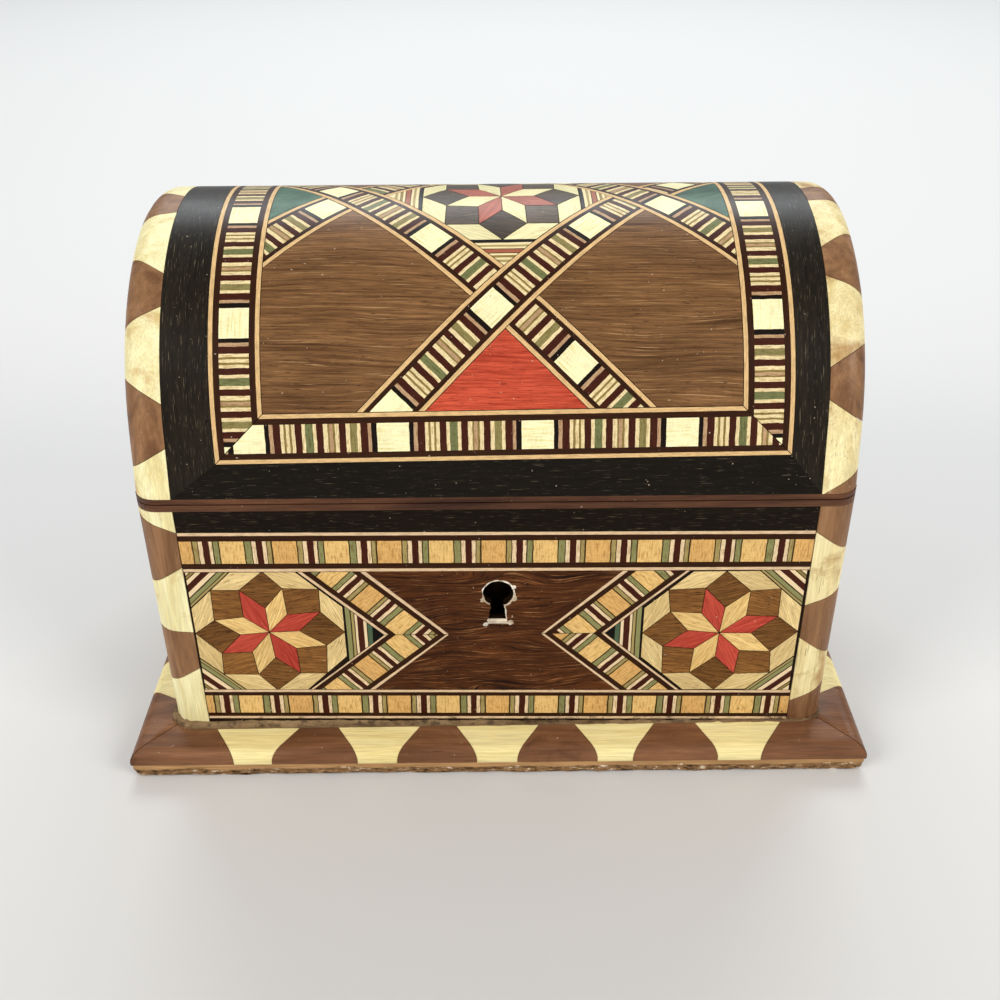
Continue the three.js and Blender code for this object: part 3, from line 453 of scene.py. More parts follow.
def toned(colour):
    """Each piece of veneer has its own shade, kept in its tone attribute."""
    return shaded(colour, add(colour.tree, "Attribute", output="Fac", attribute_name="tone"))


def flecked(colour):
    """Tiny pale chips in the old lacquer, and dark patches that crowd in just above the plinth, so that the
    body darkens towards its foot.
    """
    where = object_place(colour.tree)
    colour = blend(spread(noise(where, 1500, 1, 0.5), 0.77, 0.8, 0, 0.6), colour, (206, 190, 164))
    height = part_of(where, "Z")
    above_plinth = spread(height, (plinth_top + 0.1) * MM, (plinth_top + 0.4) * MM)
    near_foot = spread(height, (plinth_top + 4.5) * MM, plinth_top * MM, 0, 0.24)
    # Dark patches here and there, far more of them in the 4.5 mm just above the plinth: the body darkens
    # towards its foot
    dark_patches = spread(noise(where, 420, 5, 0.7) + near_foot, 0.68, 0.8, 0, 0.75)
    return blend(dark_patches * above_plinth, colour, (52, 36, 24))


def lacquer(tree, colour, grain, rough=(0.3, 0.42), bump=0.02, gloss=0.13):
    """Gives the shader a colour and a grain height, under old lacquer."""
    where = object_place(tree)
    surface(tree, {
        "Base Color": colour,
        "Roughness": spread(noise(where, 90, 4, 0.6), 0.3, 0.7, *rough),
        "Normal": raised(grain + noise(where, 260, 2, 0.5) * 0.6, 0.35, bump),
        "Specular IOR Level": gloss,
    })


def wood(
    name, dark, light, streak, pore, pores, wave, fibre, contrast=0.16,
    glint=None, glints=0.62, glint_size=(14, 0.28), **polish
):
    """Veneer cut along the grain: broad streaks, fine fibres, glints and pores, sized in the grain map."""
    material, tree = blank(name)
    grain = grain_place(tree)
    lift = (grained(grain, 30, 9, 1) - 0.5) * (wave * 10)
    along = add(tree, "VectorMath", {0: grain, 1: add(tree, "CombineXYZ", {"Y": lift})}, operation="ADD")
    mixed = grained(along, *streak, 4, 0.65) * 0.7 + grained(along, 25, 7, 2) * 0.3
    fibres = grained(along, 5, 0.2, 2, 0.6)
    colour = blend(spread(mixed, 0.5 - contrast, 0.5 + contrast), dark, light)
    colour = shaded(colour, spread(fibres, 0.3, 0.7, 1 - fibre, 1 + fibre * 0.5))
    if glint:
        threads = grained(along, *glint_size, 3, 0.6, move=(7, 3, 0))
        colour = blend(spread(threads, glints, glints + 0.1), colour, glint)
    pit = spread(grained(along, 2.4, 0.16, 1, move=(3, 9, 0)), pores, pores + 0.05)
    colour = blend(pit, colour, pore)
    lacquer(tree, flecked(toned(colour)), fibres - pit * 0.8, **polish)
    return material


def mosaic(name, slices, half_mosaic, half_line, string, half_square=0.0, **polish):
    """A banding of end-cut slices between a dark line and a pale string on each side.

    The grain map runs along the band in u and across it from its middle in v. half_square is how much
    of a run's end slices shows the grain of a pale square.
    """
    material, tree = blank(name)
    grain = grain_place(tree)
    period = width_of(slices)
    sway = (grained(grain, 3, 2.5, 2) - 0.5) * 0.28
    turns = ((part_of(grain, "X") + sway) / period).math("FRACT")
    end_grain = grained(grain, 0.3, 1.8, 3, 0.7, move=(5, 2, 0))
    shade = (
        spread(grained(grain, 2.5, 0.3, 3, 0.65), 0.36, 0.62, 0.25, 0.37)
        + spread(end_grain, 0.36, 0.64, 0.22, 0.37)
        + spread(grained(grain, 4.5, 6, 2, move=(2, 8, 0)), 0.36, 0.64, 0.27, 0.38)
    )
    blocks = shaded(bands(turns, slices), shade)
    mottle = spread(grained(grain, 0.3, 2.0, 3, 0.65, 0.6, (1, 6, 0)), 0.5, 0.62, 0, 0.6)
    mottled = blend(mottle, blocks, (188, 160, 118), "MULTIPLY")
    figure = spread(grained(grain, 6, 0.5, 2, 0.6, move=(4, 1, 0)), 0.54, 0.62, 0, 0.6)
    figured = blend(figure, blocks, (232, 222, 180), "MULTIPLY")
    blocks = blend(abs(turns - 0.5) > 0.5 - half_square / period, mottled, figured)
    dark_line = blend(spread(grained(grain, 6, 0.3, 3, 0.6), 0.35, 0.65), times(LINE, 0.7), LINE)
    specks = spread(grained(grain, 2.2, 0.35, 4, 0.7, move=(9, 4, 0)), 0.32, 0.6)
    pale_string = blend(specks, times(string, 0.8), string)
    edge = abs(part_of(grain, "Y")) + sway * 0.35
    colour = blend(edge > half_line, blend(edge > half_mosaic, blocks, dark_line), pale_string)
    lacquer(tree, flecked(toned(colour)), end_grain, **polish)
    return material


def stripes(name, layers, **polish):
    """Thin strips side by side. The grain map's v runs across them."""
    material, tree = blank(name)
    grain = grain_place(tree)
    across = part_of(grain, "Y") + (grained(grain, 6, 2, 2) - 0.5) * 0.3
    fibres = grained(grain, 5, 0.25, 3, 0.65)
    colour = shaded(bands(across / width_of(layers), layers), spread(fibres, 0.3, 0.7, 0.8, 1.12))
    lacquer(tree, toned(colour), fibres, **polish)
    return material


def drawn_out(along, length, width):
    """The noise scales of patches drawn out along one axis."""
    return [1 / ((length if axis == along else width) * MM) for axis in "xyz"]


def solid_wood(
    name, dark, light, along, stain=None, stains=0.58, pore=None, rough=(0.35, 0.5), gloss=0.2, fibre=0.18
):
    """Solid timber in object coordinates. along is the grain's direction."""
    material, tree = blank(name)
    where = object_place(tree)
    fine = drawn_out(along, 8, 0.35)
    streaks = noise(stretched(where, drawn_out(along, 30, 3)), 1, 4, 0.6, 0.4)
    fibres = noise(stretched(where, fine), 1, 3, 0.6)
    colour = blend(spread(streaks, 0.32, 0.68), dark, light)
    colour = shaded(colour, spread(fibres, 0.3, 0.7, 1 - fibre, 1 + fibre * 0.6))
    if stain:
        patches = noise(where, 110, 5, 0.62, 0.5)
        colour = blend(spread(patches, stains, stains + 0.16, 0, 0.75), colour, stain)
    if pore:
        pit = noise(stretched(where, times(fine, 1.6)), 1, 1)
        colour = blend(spread(pit, 0.68, 0.74, 0, 0.7), colour, pore)
    lacquer(tree, flecked(colour), fibres, rough=rough, bump=0.03, gloss=gloss)
    return material


def torn_plywood(name, face, core, pale, hollow_shade):
    """Plywood whose lower edge is torn: a clean upper ply over splintered fibres, with painted shade in the
    hollows between them.
    """
    material, tree = blank(name)
    where = object_place(tree)
    fibres = noise(stretched(where, (120, 120, 1600)), 1, 4, 0.65)
    clean = blend(spread(fibres, 0.3, 0.7), core, face)
    splinters = noise(stretched(where, (420, 420, 900), (3, 1, 2)), 1, 5, 0.7)
    # The darkest splinters take the hollow colour, painted shade for the gaps between them and under the
    # torn edge
    ragged = blend(spread(splinters, 0.38, 0.5), hollow_shade, core)
    ragged = blend(spread(splinters, 0.58, 0.64), ragged, pale)
    height = part_of(where, "Z") + (noise(where, 90, 3) - 0.5) * (2.4 * MM)
    colour = blend(spread(height, 2.6 * MM, 2.3 * MM), clean, ragged)
    lacquer(tree, colour, splinters, rough=(0.6, 0.8), bump=0.15, gloss=0.1)
    return material


def metal(name, dark, light, rust, rough=(0.3, 0.5)):
    """Sheet and wire metal, dulled with age."""
    material, tree = blank(name)
    where = object_place(tree)
    patches = noise(where, 160, 5, 0.65)
    brushing = noise(stretched(where, (180, 2600, 2600)), 1, 2)
    colour = blend(spread(patches, 0.35, 0.68), light, dark)
    surface(tree, {
        "Base Color": blend(spread(noise(where, 420, 4, 0.7), 0.6, 0.7), colour, rust),
        "Roughness": spread(patches, 0.3, 0.7, *rough),
        "Normal": raised(brushing, 0.25, 0.02),
        "Metallic": 1.0,
    })
    return material


def felt_cloth(name, deep, bright):
    """Pressed wool felt: no weave, only short matted hair."""
    material, tree = blank(name)
    where = object_place(tree)
    hair = noise(where, 2600, 5, 0.75, 0.8)
    mats = noise(where, 300, 3, 0.6)
    worn = spread(noise(where, 45, 3, 0.6), 0.5, 0.75, 0, 0.35)
    colour = blend(spread(hair, 0.3, 0.7), deep, bright)
    surface(tree, {
        "Base Color": blend(worn, colour, times(bright, 1.15)),
        "Roughness": spread(mats, 0.3, 0.7, 0.88, 0.98),
        "Normal": raised(hair + mats * 0.8, 0.8, 0.12),
        "Sheen Weight": 0.2,
        "Sheen Roughness": 0.5,
        "Specular IOR Level": 0.15,
    })
    return material


# The woods of the marquetry

DULL = {"gloss": 0.08}  # the front's lacquer shines less than the lid's

WALNUT = wood(
    "walnut", (78, 50, 27), (142, 102, 64), (24, 0.55), (56, 33, 18), 0.66, 0.28, 0.36, 0.15,
    glint=(180, 142, 98), glints=0.61,
)
DARK_WALNUT = wood(
    "dark_walnut", (34, 14, 5), (98, 55, 25), (18, 0.6), (18, 7, 3), 0.64, 1.1, 0.4, 0.14,
    glint=(164, 112, 70), glints=0.595, glint_size=(10, 0.2), **DULL,
)
EBONY = wood(
    "ebony", (10, 7, 3), (25, 18, 9), (18, 0.8), (6, 4, 2), 0.66, 0.2, 0.3,
    glint=(92, 82, 64), glint_size=(4, 0.2),
)
# Ebony for the lid's side bands, made paler: partly for dust, and partly as painted sheen for a window's
# reflection along the sides
DUSTY_SHEEN_EBONY = wood(
    "dusty_sheen_ebony", (22, 17, 10), (42, 35, 25), (16, 0.8), (12, 9, 5), 0.64, 0.25, 0.3,
    glint=(112, 102, 80), glints=0.61, glint_size=(4, 0.2),
)
FRONT_EBONY = wood(
    "front_ebony", (14, 9, 4), (28, 19, 10), (18, 0.8), (8, 5, 3), 0.66, 0.2, 0.3,
    glint=(92, 80, 60), glints=0.61, glint_size=(4, 0.2), **DULL,
)
RED_WOOD = wood(
    "red_dyed_maple", (158, 50, 32), (216, 92, 64), (9, 0.4), (112, 34, 22), 0.65, 0.3, 0.24, 0.13,
)
STAR_RED = wood(
    "star_red", (158, 50, 38), (200, 82, 64), (7, 0.4), (120, 32, 24), 0.66, 0.3, 0.22, 0.13, **DULL,
)
MEDALLION_RED = wood(
    "medallion_red", (136, 68, 52), (184, 102, 80), (7, 0.5), (108, 48, 36), 0.66, 0.3, 0.2, 0.13,
)
GREEN_WOOD = wood("green_dyed_maple", (34, 66, 52), (76, 112, 90), (7, 2.0), (24, 50, 42), 0.68, 0.8, 0.2)
WHITE_WOOD = wood(
    "holly", (214, 202, 146), (244, 236, 186), (12, 0.35), (192, 170, 112), 0.66, 0.3, 0.16, 0.13,
)
LEMON_WOOD = wood(
    "lemonwood", (204, 160, 92), (244, 212, 142), (7, 0.4), (156, 108, 54), 0.64, 0.3, 0.28, 0.14, **DULL,
)
TAN_WOOD = wood(
    "boxwood", (196, 165, 106), (238, 212, 152), (8, 0.4), (144, 110, 64), 0.64, 0.3, 0.24, 0.14, **DULL,
)
STAR_WALNUT = wood(
    "star_walnut", (89, 55, 25), (148, 101, 51), (8, 0.4), (46, 26, 10), 0.62, 0.3, 0.34, 0.14, **DULL,
)
GREY_WALNUT = wood(
    "grey_walnut", (56, 46, 36), (100, 83, 66), (8, 0.4), (38, 29, 21), 0.62, 0.4, 0.3, 0.14,
)

# The colours of the mosaics' slices and lines

LINE = (56, 28, 10)
STRING = (224, 186, 130)
FRONT_STRING = (226, 194, 154)
BUFF = (232, 206, 164)
STRAW = (164, 146, 92)
FRONT_GREEN = (138, 136, 88)
MAROON = (66, 28, 16)
BLACK = (22, 13, 6)
OLIVE = (140, 120, 66)
CREAM = (234, 214, 164)
GREEN = (112, 116, 74)
YELLOW_GREEN = (136, 126, 78)
TAN = (186, 152, 116)
WHITE = (248, 240, 190)
GOLD = (230, 190, 120)
ORANGE = (218, 172, 104)
SEAM = (58, 44, 18)
RUST = (160, 92, 66)
CORNER_BLACK = (20, 14, 10)
STAR_BLACK = (20, 13, 8)
STAR_GREEN = (74, 94, 70)
TRIANGLE_BLACK = (16, 14, 10)

# Each slice is (width, colour). A white half block begins and ends the lid's run.
LID_SLICES = [
    (3.1, WHITE), (0.9, BLACK), (0.7, TAN), (1.4, MAROON),
    (0.68, CREAM), (0.4, OLIVE), (0.68, CREAM), (0.4, OLIVE), (0.68, CREAM), (1.3, MAROON),
    (0.68, CREAM), (1.5, GREEN), (0.65, CREAM), (1.25, MAROON),
    (0.85, CREAM), (0.4, OLIVE), (0.6, TAN), (0.45, OLIVE), (0.75, CREAM), (1.25, MAROON),
    (0.75, CREAM), (1.45, YELLOW_GREEN), (0.68, CREAM), (1.35, MAROON),
    (0.7, TAN), (1.05, BLACK), (3.1, WHITE),
]
SIDE_SLICES = [(width * 0.97, colour) for width, colour in LID_SLICES]


def front_slices(block, thin):
    """Two blocks of the front's banding. block is their width, and thin scales the slices between."""
    return [
        (1.3 * thin, MAROON), (0.65 * thin, BUFF), (0.22, SEAM), (1.0 * thin, FRONT_GREEN), (0.2, SEAM),
        (block, GOLD), (0.3, SEAM), (1.2 * thin, FRONT_GREEN), (0.2, SEAM), (0.8 * thin, BUFF),
        (1.25 * thin, MAROON), (0.75 * thin, BUFF), (0.2, SEAM), (0.75 * thin, STRAW), (0.3, SEAM),
        (block, ORANGE), (0.3, SEAM), (0.85 * thin, STRAW), (0.18, SEAM), (0.85 * thin, BUFF),
    ]


FRAME_MOSAIC = mosaic("frame_mosaic", LID_SLICES, 2.85, 4.05, STRING, 3.1)
FRAME_SIDE_MOSAIC = mosaic("frame_side_mosaic", SIDE_SLICES, 2.85, 4.05, STRING, 3.1)
LATTICE_MOSAIC = mosaic("lattice_mosaic", LID_SLICES, 2.85, 3.75, STRING, 3.1)
UPPER_MOSAIC = mosaic("upper_mosaic", front_slices(4.8, 1), 2.7, 4.02, FRONT_STRING, **DULL)
LOWER_MOSAIC = mosaic("lower_mosaic", front_slices(5.05, 1), 2.45, 3.45, FRONT_STRING, **DULL)
CHEVRON_MOSAIC = mosaic("chevron_mosaic", front_slices(4.05, 0.9), 2.95, 4.1, FRONT_STRING, **DULL)
CORNER_STRIPES = stripes("corner_stripes", [
    (0.8, CORNER_BLACK), (0.6, CREAM), (0.5, STRAW), (0.45, CREAM), (0.2, SEAM), (0.85, RUST),
    (0.2, SEAM), (0.45, CREAM), (0.6, OLIVE), (0.45, CREAM), (0.6, STRAW), (2.4, CREAM),
])
STAR_STRIPES = stripes("star_stripes", [
    (0.4, STAR_BLACK), (0.95, FRONT_GREEN), (0.25, SEAM), (0.5, STRAW), (0.2, SEAM), (0.45, BUFF),
    (1.25, MAROON), (0.6, BUFF), (0.2, SEAM), (0.95, STAR_GREEN), (2.7, TRIANGLE_BLACK),
], **DULL)
OUTER_STRIPES = stripes("outer_stripes", [
    (0.2, SEAM), (0.4, STRAW), (0.2, SEAM), (0.85, FRONT_GREEN), (0.25, SEAM), (0.9, BUFF),
    (1.3, MAROON), (0.8, BUFF), (0.2, SEAM), (0.5, OLIVE), (0.2, SEAM), (3, BUFF),
], **DULL)

# Solid timber, metal and cloth

PLYWOOD = torn_plywood("torn_plywood", (190, 148, 100), (138, 104, 68), (230, 214, 188), (52, 34, 20))
CARCASS = solid_wood("carcass_wood", (140, 98, 60), (182, 136, 88), "x", pore=(110, 72, 42))
LIP_LONG, LIP_SHORT = (
    solid_wood(name, (52, 28, 16), (98, 62, 40), along, pore=(28, 14, 8), fibre=0.3)
    for name, along in (("mahogany_long_lip", "x"), ("mahogany_short_lip", "y"))
)
INLAY_CREAM = solid_wood(
    "strip_cream", (224, 208, 148), (244, 238, 190), "z", stain=(186, 138, 70), stains=0.56,
)
STAINED_CREAM = solid_wood(
    "stained_strip_cream", (214, 192, 132), (244, 232, 180), "z", stain=(158, 108, 50), stains=0.5,
    pore=(96, 66, 34),
)
INLAY_BROWN = solid_wood(
    "strip_brown", (108, 72, 45), (152, 112, 76), "z", stain=(74, 42, 26), pore=(78, 48, 30),
)
PLINTH_CREAM = solid_wood(
    "plinth_cream", (228, 208, 142), (242, 228, 168), "x", stain=(206, 174, 104), stains=0.64,
)
PLINTH_BROWN = solid_wood(
    "plinth_brown", (98, 62, 38), (134, 92, 62), "x", stain=(72, 42, 26), stains=0.6, pore=(70, 44, 28),
    fibre=0.22,
)
FILLER = solid_wood(
    "filler", (96, 72, 46), (146, 120, 84), "x", stain=(52, 36, 22), stains=0.5, rough=(0.6, 0.8),
)
# Dark glue under the veneers, which shows in the joints; on the front wall the same dark is painted shade
# inside the keyhole
GLUE_AND_SHADE = solid_wood("glue_dirt_and_keyhole_shade", (20, 13, 8), (40, 26, 14), "x", gloss=0.05)
BARE_WOOD = solid_wood(
    "bare_chipped_wood", (206, 182, 146), (246, 240, 226), "x", stain=(112, 84, 54), stains=0.46,
    pore=(90, 64, 40), rough=(0.7, 0.9), gloss=0.1, fibre=0.4,
)
# The lock plate shows only through the keyhole: its near-black brass is painted shade for the dark inside
# the box
KEYHOLE_SHADE_BRASS = metal("lock_brass_keyhole_shade", (20, 14, 7), (58, 42, 20), (16, 11, 6), (0.5, 0.7))
BRASS = metal("aged_brass", (122, 84, 34), (196, 152, 82), (70, 50, 26))
STEEL = metal("dull_steel", (96, 92, 88), (150, 148, 144), (92, 58, 38))
# The lock case, near black as painted shade behind the keyhole
KEYHOLE_SHADE_IRON = metal("lock_iron_keyhole_shade", (14, 12, 10), (34, 30, 26), (40, 26, 18), (0.6, 0.8))
FELT = felt_cloth("red_felt", (92, 10, 18), (150, 24, 32))


# Outlines


def rectangle(half_width, half_height):
    return [
        (-half_width, -half_height), (half_width, -half_height), (half_width, half_height),
        (-half_width, half_height),
    ]


def sides(outline):
    """Each corner with the one after it."""
    return zip(outline, outline[1:] + outline[:1])


def anticlockwise(outline):
    doubled_area = sum(x * next_z - next_x * z for (x, z), (next_x, next_z) in sides(outline))
    return outline if doubled_area >= 0 else outline[::-1]


def trimmed(outline, cuts):
    """An outline after straight cuts, each a point on the cut and the direction that is thrown away."""
    for (cut_x, cut_z), (out_x, out_z) in cuts:
        corners = [(x, z, (x - cut_x) * out_x + (z - cut_z) * out_z) for x, z in outline]
        outline = []
        for (x, z, beyond), (next_x, next_z, next_beyond) in sides(corners):
            if beyond <= 0:
                outline.append((x, z))
            if beyond * next_beyond < 0:
                share = beyond / (beyond - next_beyond)
                outline.append((x + (next_x - x) * share, z + (next_z - z) * share))
    return outline


def cuts_round(outline):
    """The cuts that leave this outline of whatever is larger."""
    return [
        ((x, z), (next_z - z, x - next_x)) for (x, z), (next_x, next_z) in sides(anticlockwise(outline))
    ]


# Laying veneer


def new_sheet(name):
    """An object with nothing in it yet, at the origin and in edit mode."""
    deselect()
    bpy.ops.mesh.primitive_plane_add(size=MM)
    sheet = bpy.context.object
    sheet.name = name
    sheet.data.uv_layers[0].name = "grain"
    sheet.data.attributes.new("tone", "FLOAT", "FACE")
    bpy.ops.object.mode_set(mode="EDIT")
    bpy.ops.mesh.delete(type="VERT")
    return sheet


def stain(sheet, finish):
    """Gives the faces in hand this finish."""
    names = [slot.material.name for slot in sheet.material_slots]
    if finish.name not in names:
        sheet.data.materials.append(finish)
        names.append(finish.name)
    sheet.active_material_index = names.index(finish.name)
    bpy.ops.object.material_slot_assign()


def grain_map(sheet, origin, turn, shift, tone):
    """Writes the grain map of the faces in hand: u along the grain and v across it, from the origin."""
    mesh = bmesh.from_edit_mesh(sheet.data)
    layer = mesh.loops.layers.uv["grain"]
    shades = mesh.faces.layers.float["tone"]
    along = Vector((math.cos(turn), math.sin(turn)))
    across = Vector((-math.sin(turn), math.cos(turn)))
    for face in mesh.faces:
        if face.hide or not face.select:
            continue
        face[shades] = tone
        for loop in face.loops:
            place = Vector((loop.vert.co.x / MM - origin[0], loop.vert.co.z / MM - origin[1]))
            loop[layer].uv = (place.dot(along) + shift[0], place.dot(across) + shift[1])
    bmesh.update_edit_mesh(sheet.data)


def lay(sheet, outline, finish, turn=0.0, origin=None, tone=1.0, glue=GLUE_LINE):
    """Cuts one convex piece of veneer to its outline in (x, z) and lays it in the sheet."""
    outline = anticlockwise(outline)
    xs = [x for x, z in outline]
    zs = [z for x, z in outline]
    middle = ((min(xs) + max(xs)) / 2, (min(zs) + max(zs)) / 2)
    bpy.ops.mesh.primitive_plane_add(
        size=1,
        location=metres((middle[0], 0, middle[1])),
        rotation=(math.pi / 2, 0, 0),
        scale=(*metres((max(xs) - min(xs) + 1, max(zs) - min(zs) + 1)), 1),
    )
    for (x, z), (next_x, next_z) in sides(outline):
        outward = Vector((next_z - z, 0, x - next_x)).normalized()
        saw((Vector((x, 0, z)) - outward * glue) * MM, outward, fill=False)
    take_all()
    stain(sheet, finish)
    shift = (0, 0)
    if origin is None:
        origin = middle
        shift = (chance.uniform(0, 400), chance.uniform(0, 400))
        tone *= chance.uniform(0.93, 1.06)
    grain_map(sheet, origin, turn, shift, tone)
    bpy.ops.mesh.hide(unselected=False)


def finish_sheet(sheet, thickness=VENEER):
    """Brings back the laid pieces and gives them their thickness."""
    bpy.ops.mesh.reveal()
    done()
    finish_with(sheet, "SOLIDIFY", thickness=thickness * MM, offset=-1)


def set_on_end(sheet, side):
    """Turns a sheet that faces the front to the left or right end, side -1 or 1."""
    settle(sheet, turn=(0, 0, side * math.pi / 2), move=(side * (body_side + PROUD), 0, 0))


def star(sheet, centre, apothem, woods, room, put=lay, red_first=0, stretch=1.0, twist=0.0):
    """An eight-pointed rosette in its octagon: rhombs round the middle, squares, outer rhombs.

    It is cut by hand, so its inner corners stray a little. stretch and twist say how it sits, and it is
    trimmed to the room it has.
    """
    red, pale, square, outer = woods
    side = apothem / (1 + math.sqrt(2))
    spokes = [Vector((math.cos(math.pi / 4 * k), math.sin(math.pi / 4 * k))) * side for k in range(8)]
    middle = Vector((chance.uniform(-0.3, 0.3), chance.uniform(-0.2, 0.2)))
    ring = []
    tips = []
    for k in range(8):
        loose = Matrix.Rotation(twist + chance.uniform(-0.03, 0.03), 2)
        ring.append(loose @ spokes[k] * chance.uniform(0.95, 1.04))
        tips.append((loose @ (spokes[k] + spokes[(k + 1) % 8])) * chance.uniform(0.97, 1.02))

    def put_piece(corners, finish, grain, tone=1.0):
        outline = [(centre[0] + corner.x * stretch, centre[1] + corner.y) for corner in corners]
        put(sheet, trimmed(outline, cuts_round(room)), finish, grain, tone=tone)

    for k in range(8):
        before, here, after, beyond = (spokes[(k + step) % 8] for step in (-1, 0, 1, 2))
        angle = math.pi / 4 * (k + 0.5)
        corner = before + here + after
        next_corner = here + after + beyond
        put_piece([middle, ring[k], tips[k], ring[(k + 1) % 8]], red if k % 2 == red_first else pale, angle)
        shade = PALE_SQUARE if k % 2 else DARK_SQUARE
        put_piece([ring[k], tips[k - 1], corner, tips[k]], square, chance.uniform(-0.3, 0.3), shade)
        put_piece([tips[k], corner, corner + beyond, next_corner], outer, angle + math.pi / 2)


# The lid's marquetry


def turned(x, s):
    """A point of the pattern, which was glued on a little askew."""
    return (
        PATTERN_X + x * math.cos(PATTERN_TURN) - s * math.sin(PATTERN_TURN),
        PATTERN_S + x * math.sin(PATTERN_TURN) + s * math.cos(PATTERN_TURN),
    )


def lay_turned(sheet, outline, finish, turn=0.0, origin=None, tone=1.0):
    origin = None if origin is None else turned(*origin)
    lay(sheet, [turned(x, s) for x, s in outline], finish, turn + PATTERN_TURN, origin, tone)


def lid_sheet():
    sheet = new_sheet("lid_marquetry")
    outer = rectangle(FRAME_HALF_WIDTH, FRAME_HALF_RUN)
    inner = rectangle(*FRAME_INSIDE)
    rim = rectangle(panel_half_width, SHEET_HALF)
    for k in range(4):
        after = (k + 1) % 4
        border = [rim[k], rim[after], turned(*outer[after]), turned(*outer[k])]
        # The side bands take the paler ebony, which carries painted sheen
        lay(sheet, border, DUSTY_SHEEN_EBONY if k % 2 else EBONY, k % 2 * math.pi / 2, glue=FINE_JOINT)
    middle_run = FRAME_HALF_RUN - FRAME_BAND / 2
    middle_width = FRAME_HALF_WIDTH - FRAME_BAND / 2
    # Each origin is the middle of a white square
    origins = [(-21.1, -middle_run), (middle_width, -7.0), (7, middle_run), (-middle_width, -6.9)]
    for k in range(4):
        after = (k + 1) % 4
        band = [outer[k], outer[after], inner[after], inner[k]]
        lay_turned(sheet, band, FRAME_SIDE_MOSAIC if k % 2 else FRAME_MOSAIC, math.pi / 2 * k, origins[k])
    lay_lattice(sheet)
    lay_medallion(sheet)
    finish_sheet(sheet)
    return sheet


def crossing(falling, rising):
    """The point where a falling and a rising line meet."""
    return ((falling + rising) / 2, (falling - rising) / 2)


def patch(falling, rising):
    """The lid between two falling and two rising lines, as far as the frame's inner edge."""
    corners = [
        crossing(falling[0], rising[0]), crossing(falling[1], rising[0]),
        crossing(falling[1], rising[1]), crossing(falling[0], rising[1]),
    ]
    return trimmed(corners, cuts_round(rectangle(*FRAME_INSIDE)))


def lay_lattice(sheet):
    """Four crossing bands and the fields between. Each band is whole at one crossing, cut at the other."""
    half = LATTICE_HALF
    # Each piece of band: its line, where it starts and ends, and where the middle of a white square is
    falling_bands = [
        (FALLING_FRONT, -BEYOND, RISING_FRONT - half, 1.6),
        (FALLING_FRONT, RISING_FRONT + half, BEYOND, 56.5),
        (FALLING_BACK, -BEYOND, RISING_BACK - half, -56),
        (FALLING_BACK, RISING_BACK + half, BEYOND, 38.4),
    ]
    for line, start, end, white in falling_bands:
        band = patch((line - half, line + half), (start, end))
        lay_turned(sheet, band, LATTICE_MOSAIC, -math.pi / 4, crossing(line, white))
    rising_bands = [
        (RISING_FRONT, -BEYOND, FALLING_BACK - half, -33.3),
        (RISING_FRONT, FALLING_BACK + half, BEYOND, 44.8),
        (RISING_BACK, -BEYOND, FALLING_FRONT - half, -39.7),
        (RISING_BACK, FALLING_FRONT + half, BEYOND, 2),
    ]
    for line, start, end, white in rising_bands:
        band = patch((start, end), (line - half, line + half))
        lay_turned(sheet, band, LATTICE_MOSAIC, math.pi / 4, crossing(white, line))
    front, back = (-BEYOND, FALLING_FRONT - half), (FALLING_BACK + half, BEYOND)
    left, right = (-BEYOND, RISING_BACK - half), (RISING_FRONT + half, BEYOND)
    between = (FALLING_FRONT + half, FALLING_BACK - half)
    across = (RISING_BACK + half, RISING_FRONT - half)
    for falling, rising in ((front, right), (back, left)):
        lay_turned(sheet, patch(falling, rising), RED_WOOD)
    for falling, rising in ((front, left), (back, right)):
        lay_turned(sheet, patch(falling, rising), GREEN_WOOD, 0.5)
    for falling, rising in ((front, across), (between, right), (back, across), (between, left)):
        lay_turned(sheet, patch(falling, rising), WALNUT, chance.uniform(-0.04, 0.02))


def lay_medallion(sheet):
    """The star in its octagon, and the striped corners of the diamond."""
    half = LATTICE_HALF
    diamond = patch((FALLING_FRONT + half, FALLING_BACK - half), (RISING_BACK + half, RISING_FRONT - half))
    woods = (MEDALLION_RED, WHITE_WOOD, GREY_WALNUT, WHITE_WOOD)
    star(sheet, MEDALLION_CENTRE, MEDALLION, woods, diamond, put=lay_turned, red_first=1)
    for out_x, out_s in ((0, -1), (1, 0), (0, 1), (-1, 0)):
        face = (MEDALLION_CENTRE[0] + out_x * MEDALLION, MEDALLION_CENTRE[1] + out_s * MEDALLION)
        corner = trimmed(diamond, [(face, (-out_x, -out_s))])
        lay_turned(sheet, corner, CORNER_STRIPES, math.atan2(-out_x, out_s), face)


def bend_over_arch(piece):
    """Slices a flat piece finely, bends it over the lid's arch and sets it on top."""
    edit(piece)
    levels = int(SHEET_HALF / SLICE)
    for level in range(-levels, levels + 1):
        score((0, 0, level * SLICE), (0, 0, 1), threshold=1e-8)
    done()
    low = min(vertex.co.z for vertex in piece.data.vertices) / MM
    high = max(vertex.co.z for vertex in piece.data.vertices) / MM
    start, end = max(low, -ARC_RUN), min(high, ARC_RUN)
    finish_with(
        piece, "SIMPLE_DEFORM", deform_method="BEND", deform_axis="X", angle=(end - start) / ARCH_RADIUS,
        limits=((start - low) / (high - low), (end - low) / (high - low)),
    )
    settle(piece, turn=(-math.pi / 2, 0, 0), move=(0, 0, lid_top))
    smooth(piece)


def lid_ground():
    """The glued face under the lid's veneer, a hair lower, so that the joints show dark."""
    ground = block_at((0, 0.625, 0), (2 * panel_half_width, 1.15, 2 * SHEET_HALF))
    ground.name = "lid_ground"
    bend_over_arch(ground)
    paint(ground, GLUE_AND_SHADE)
    return ground


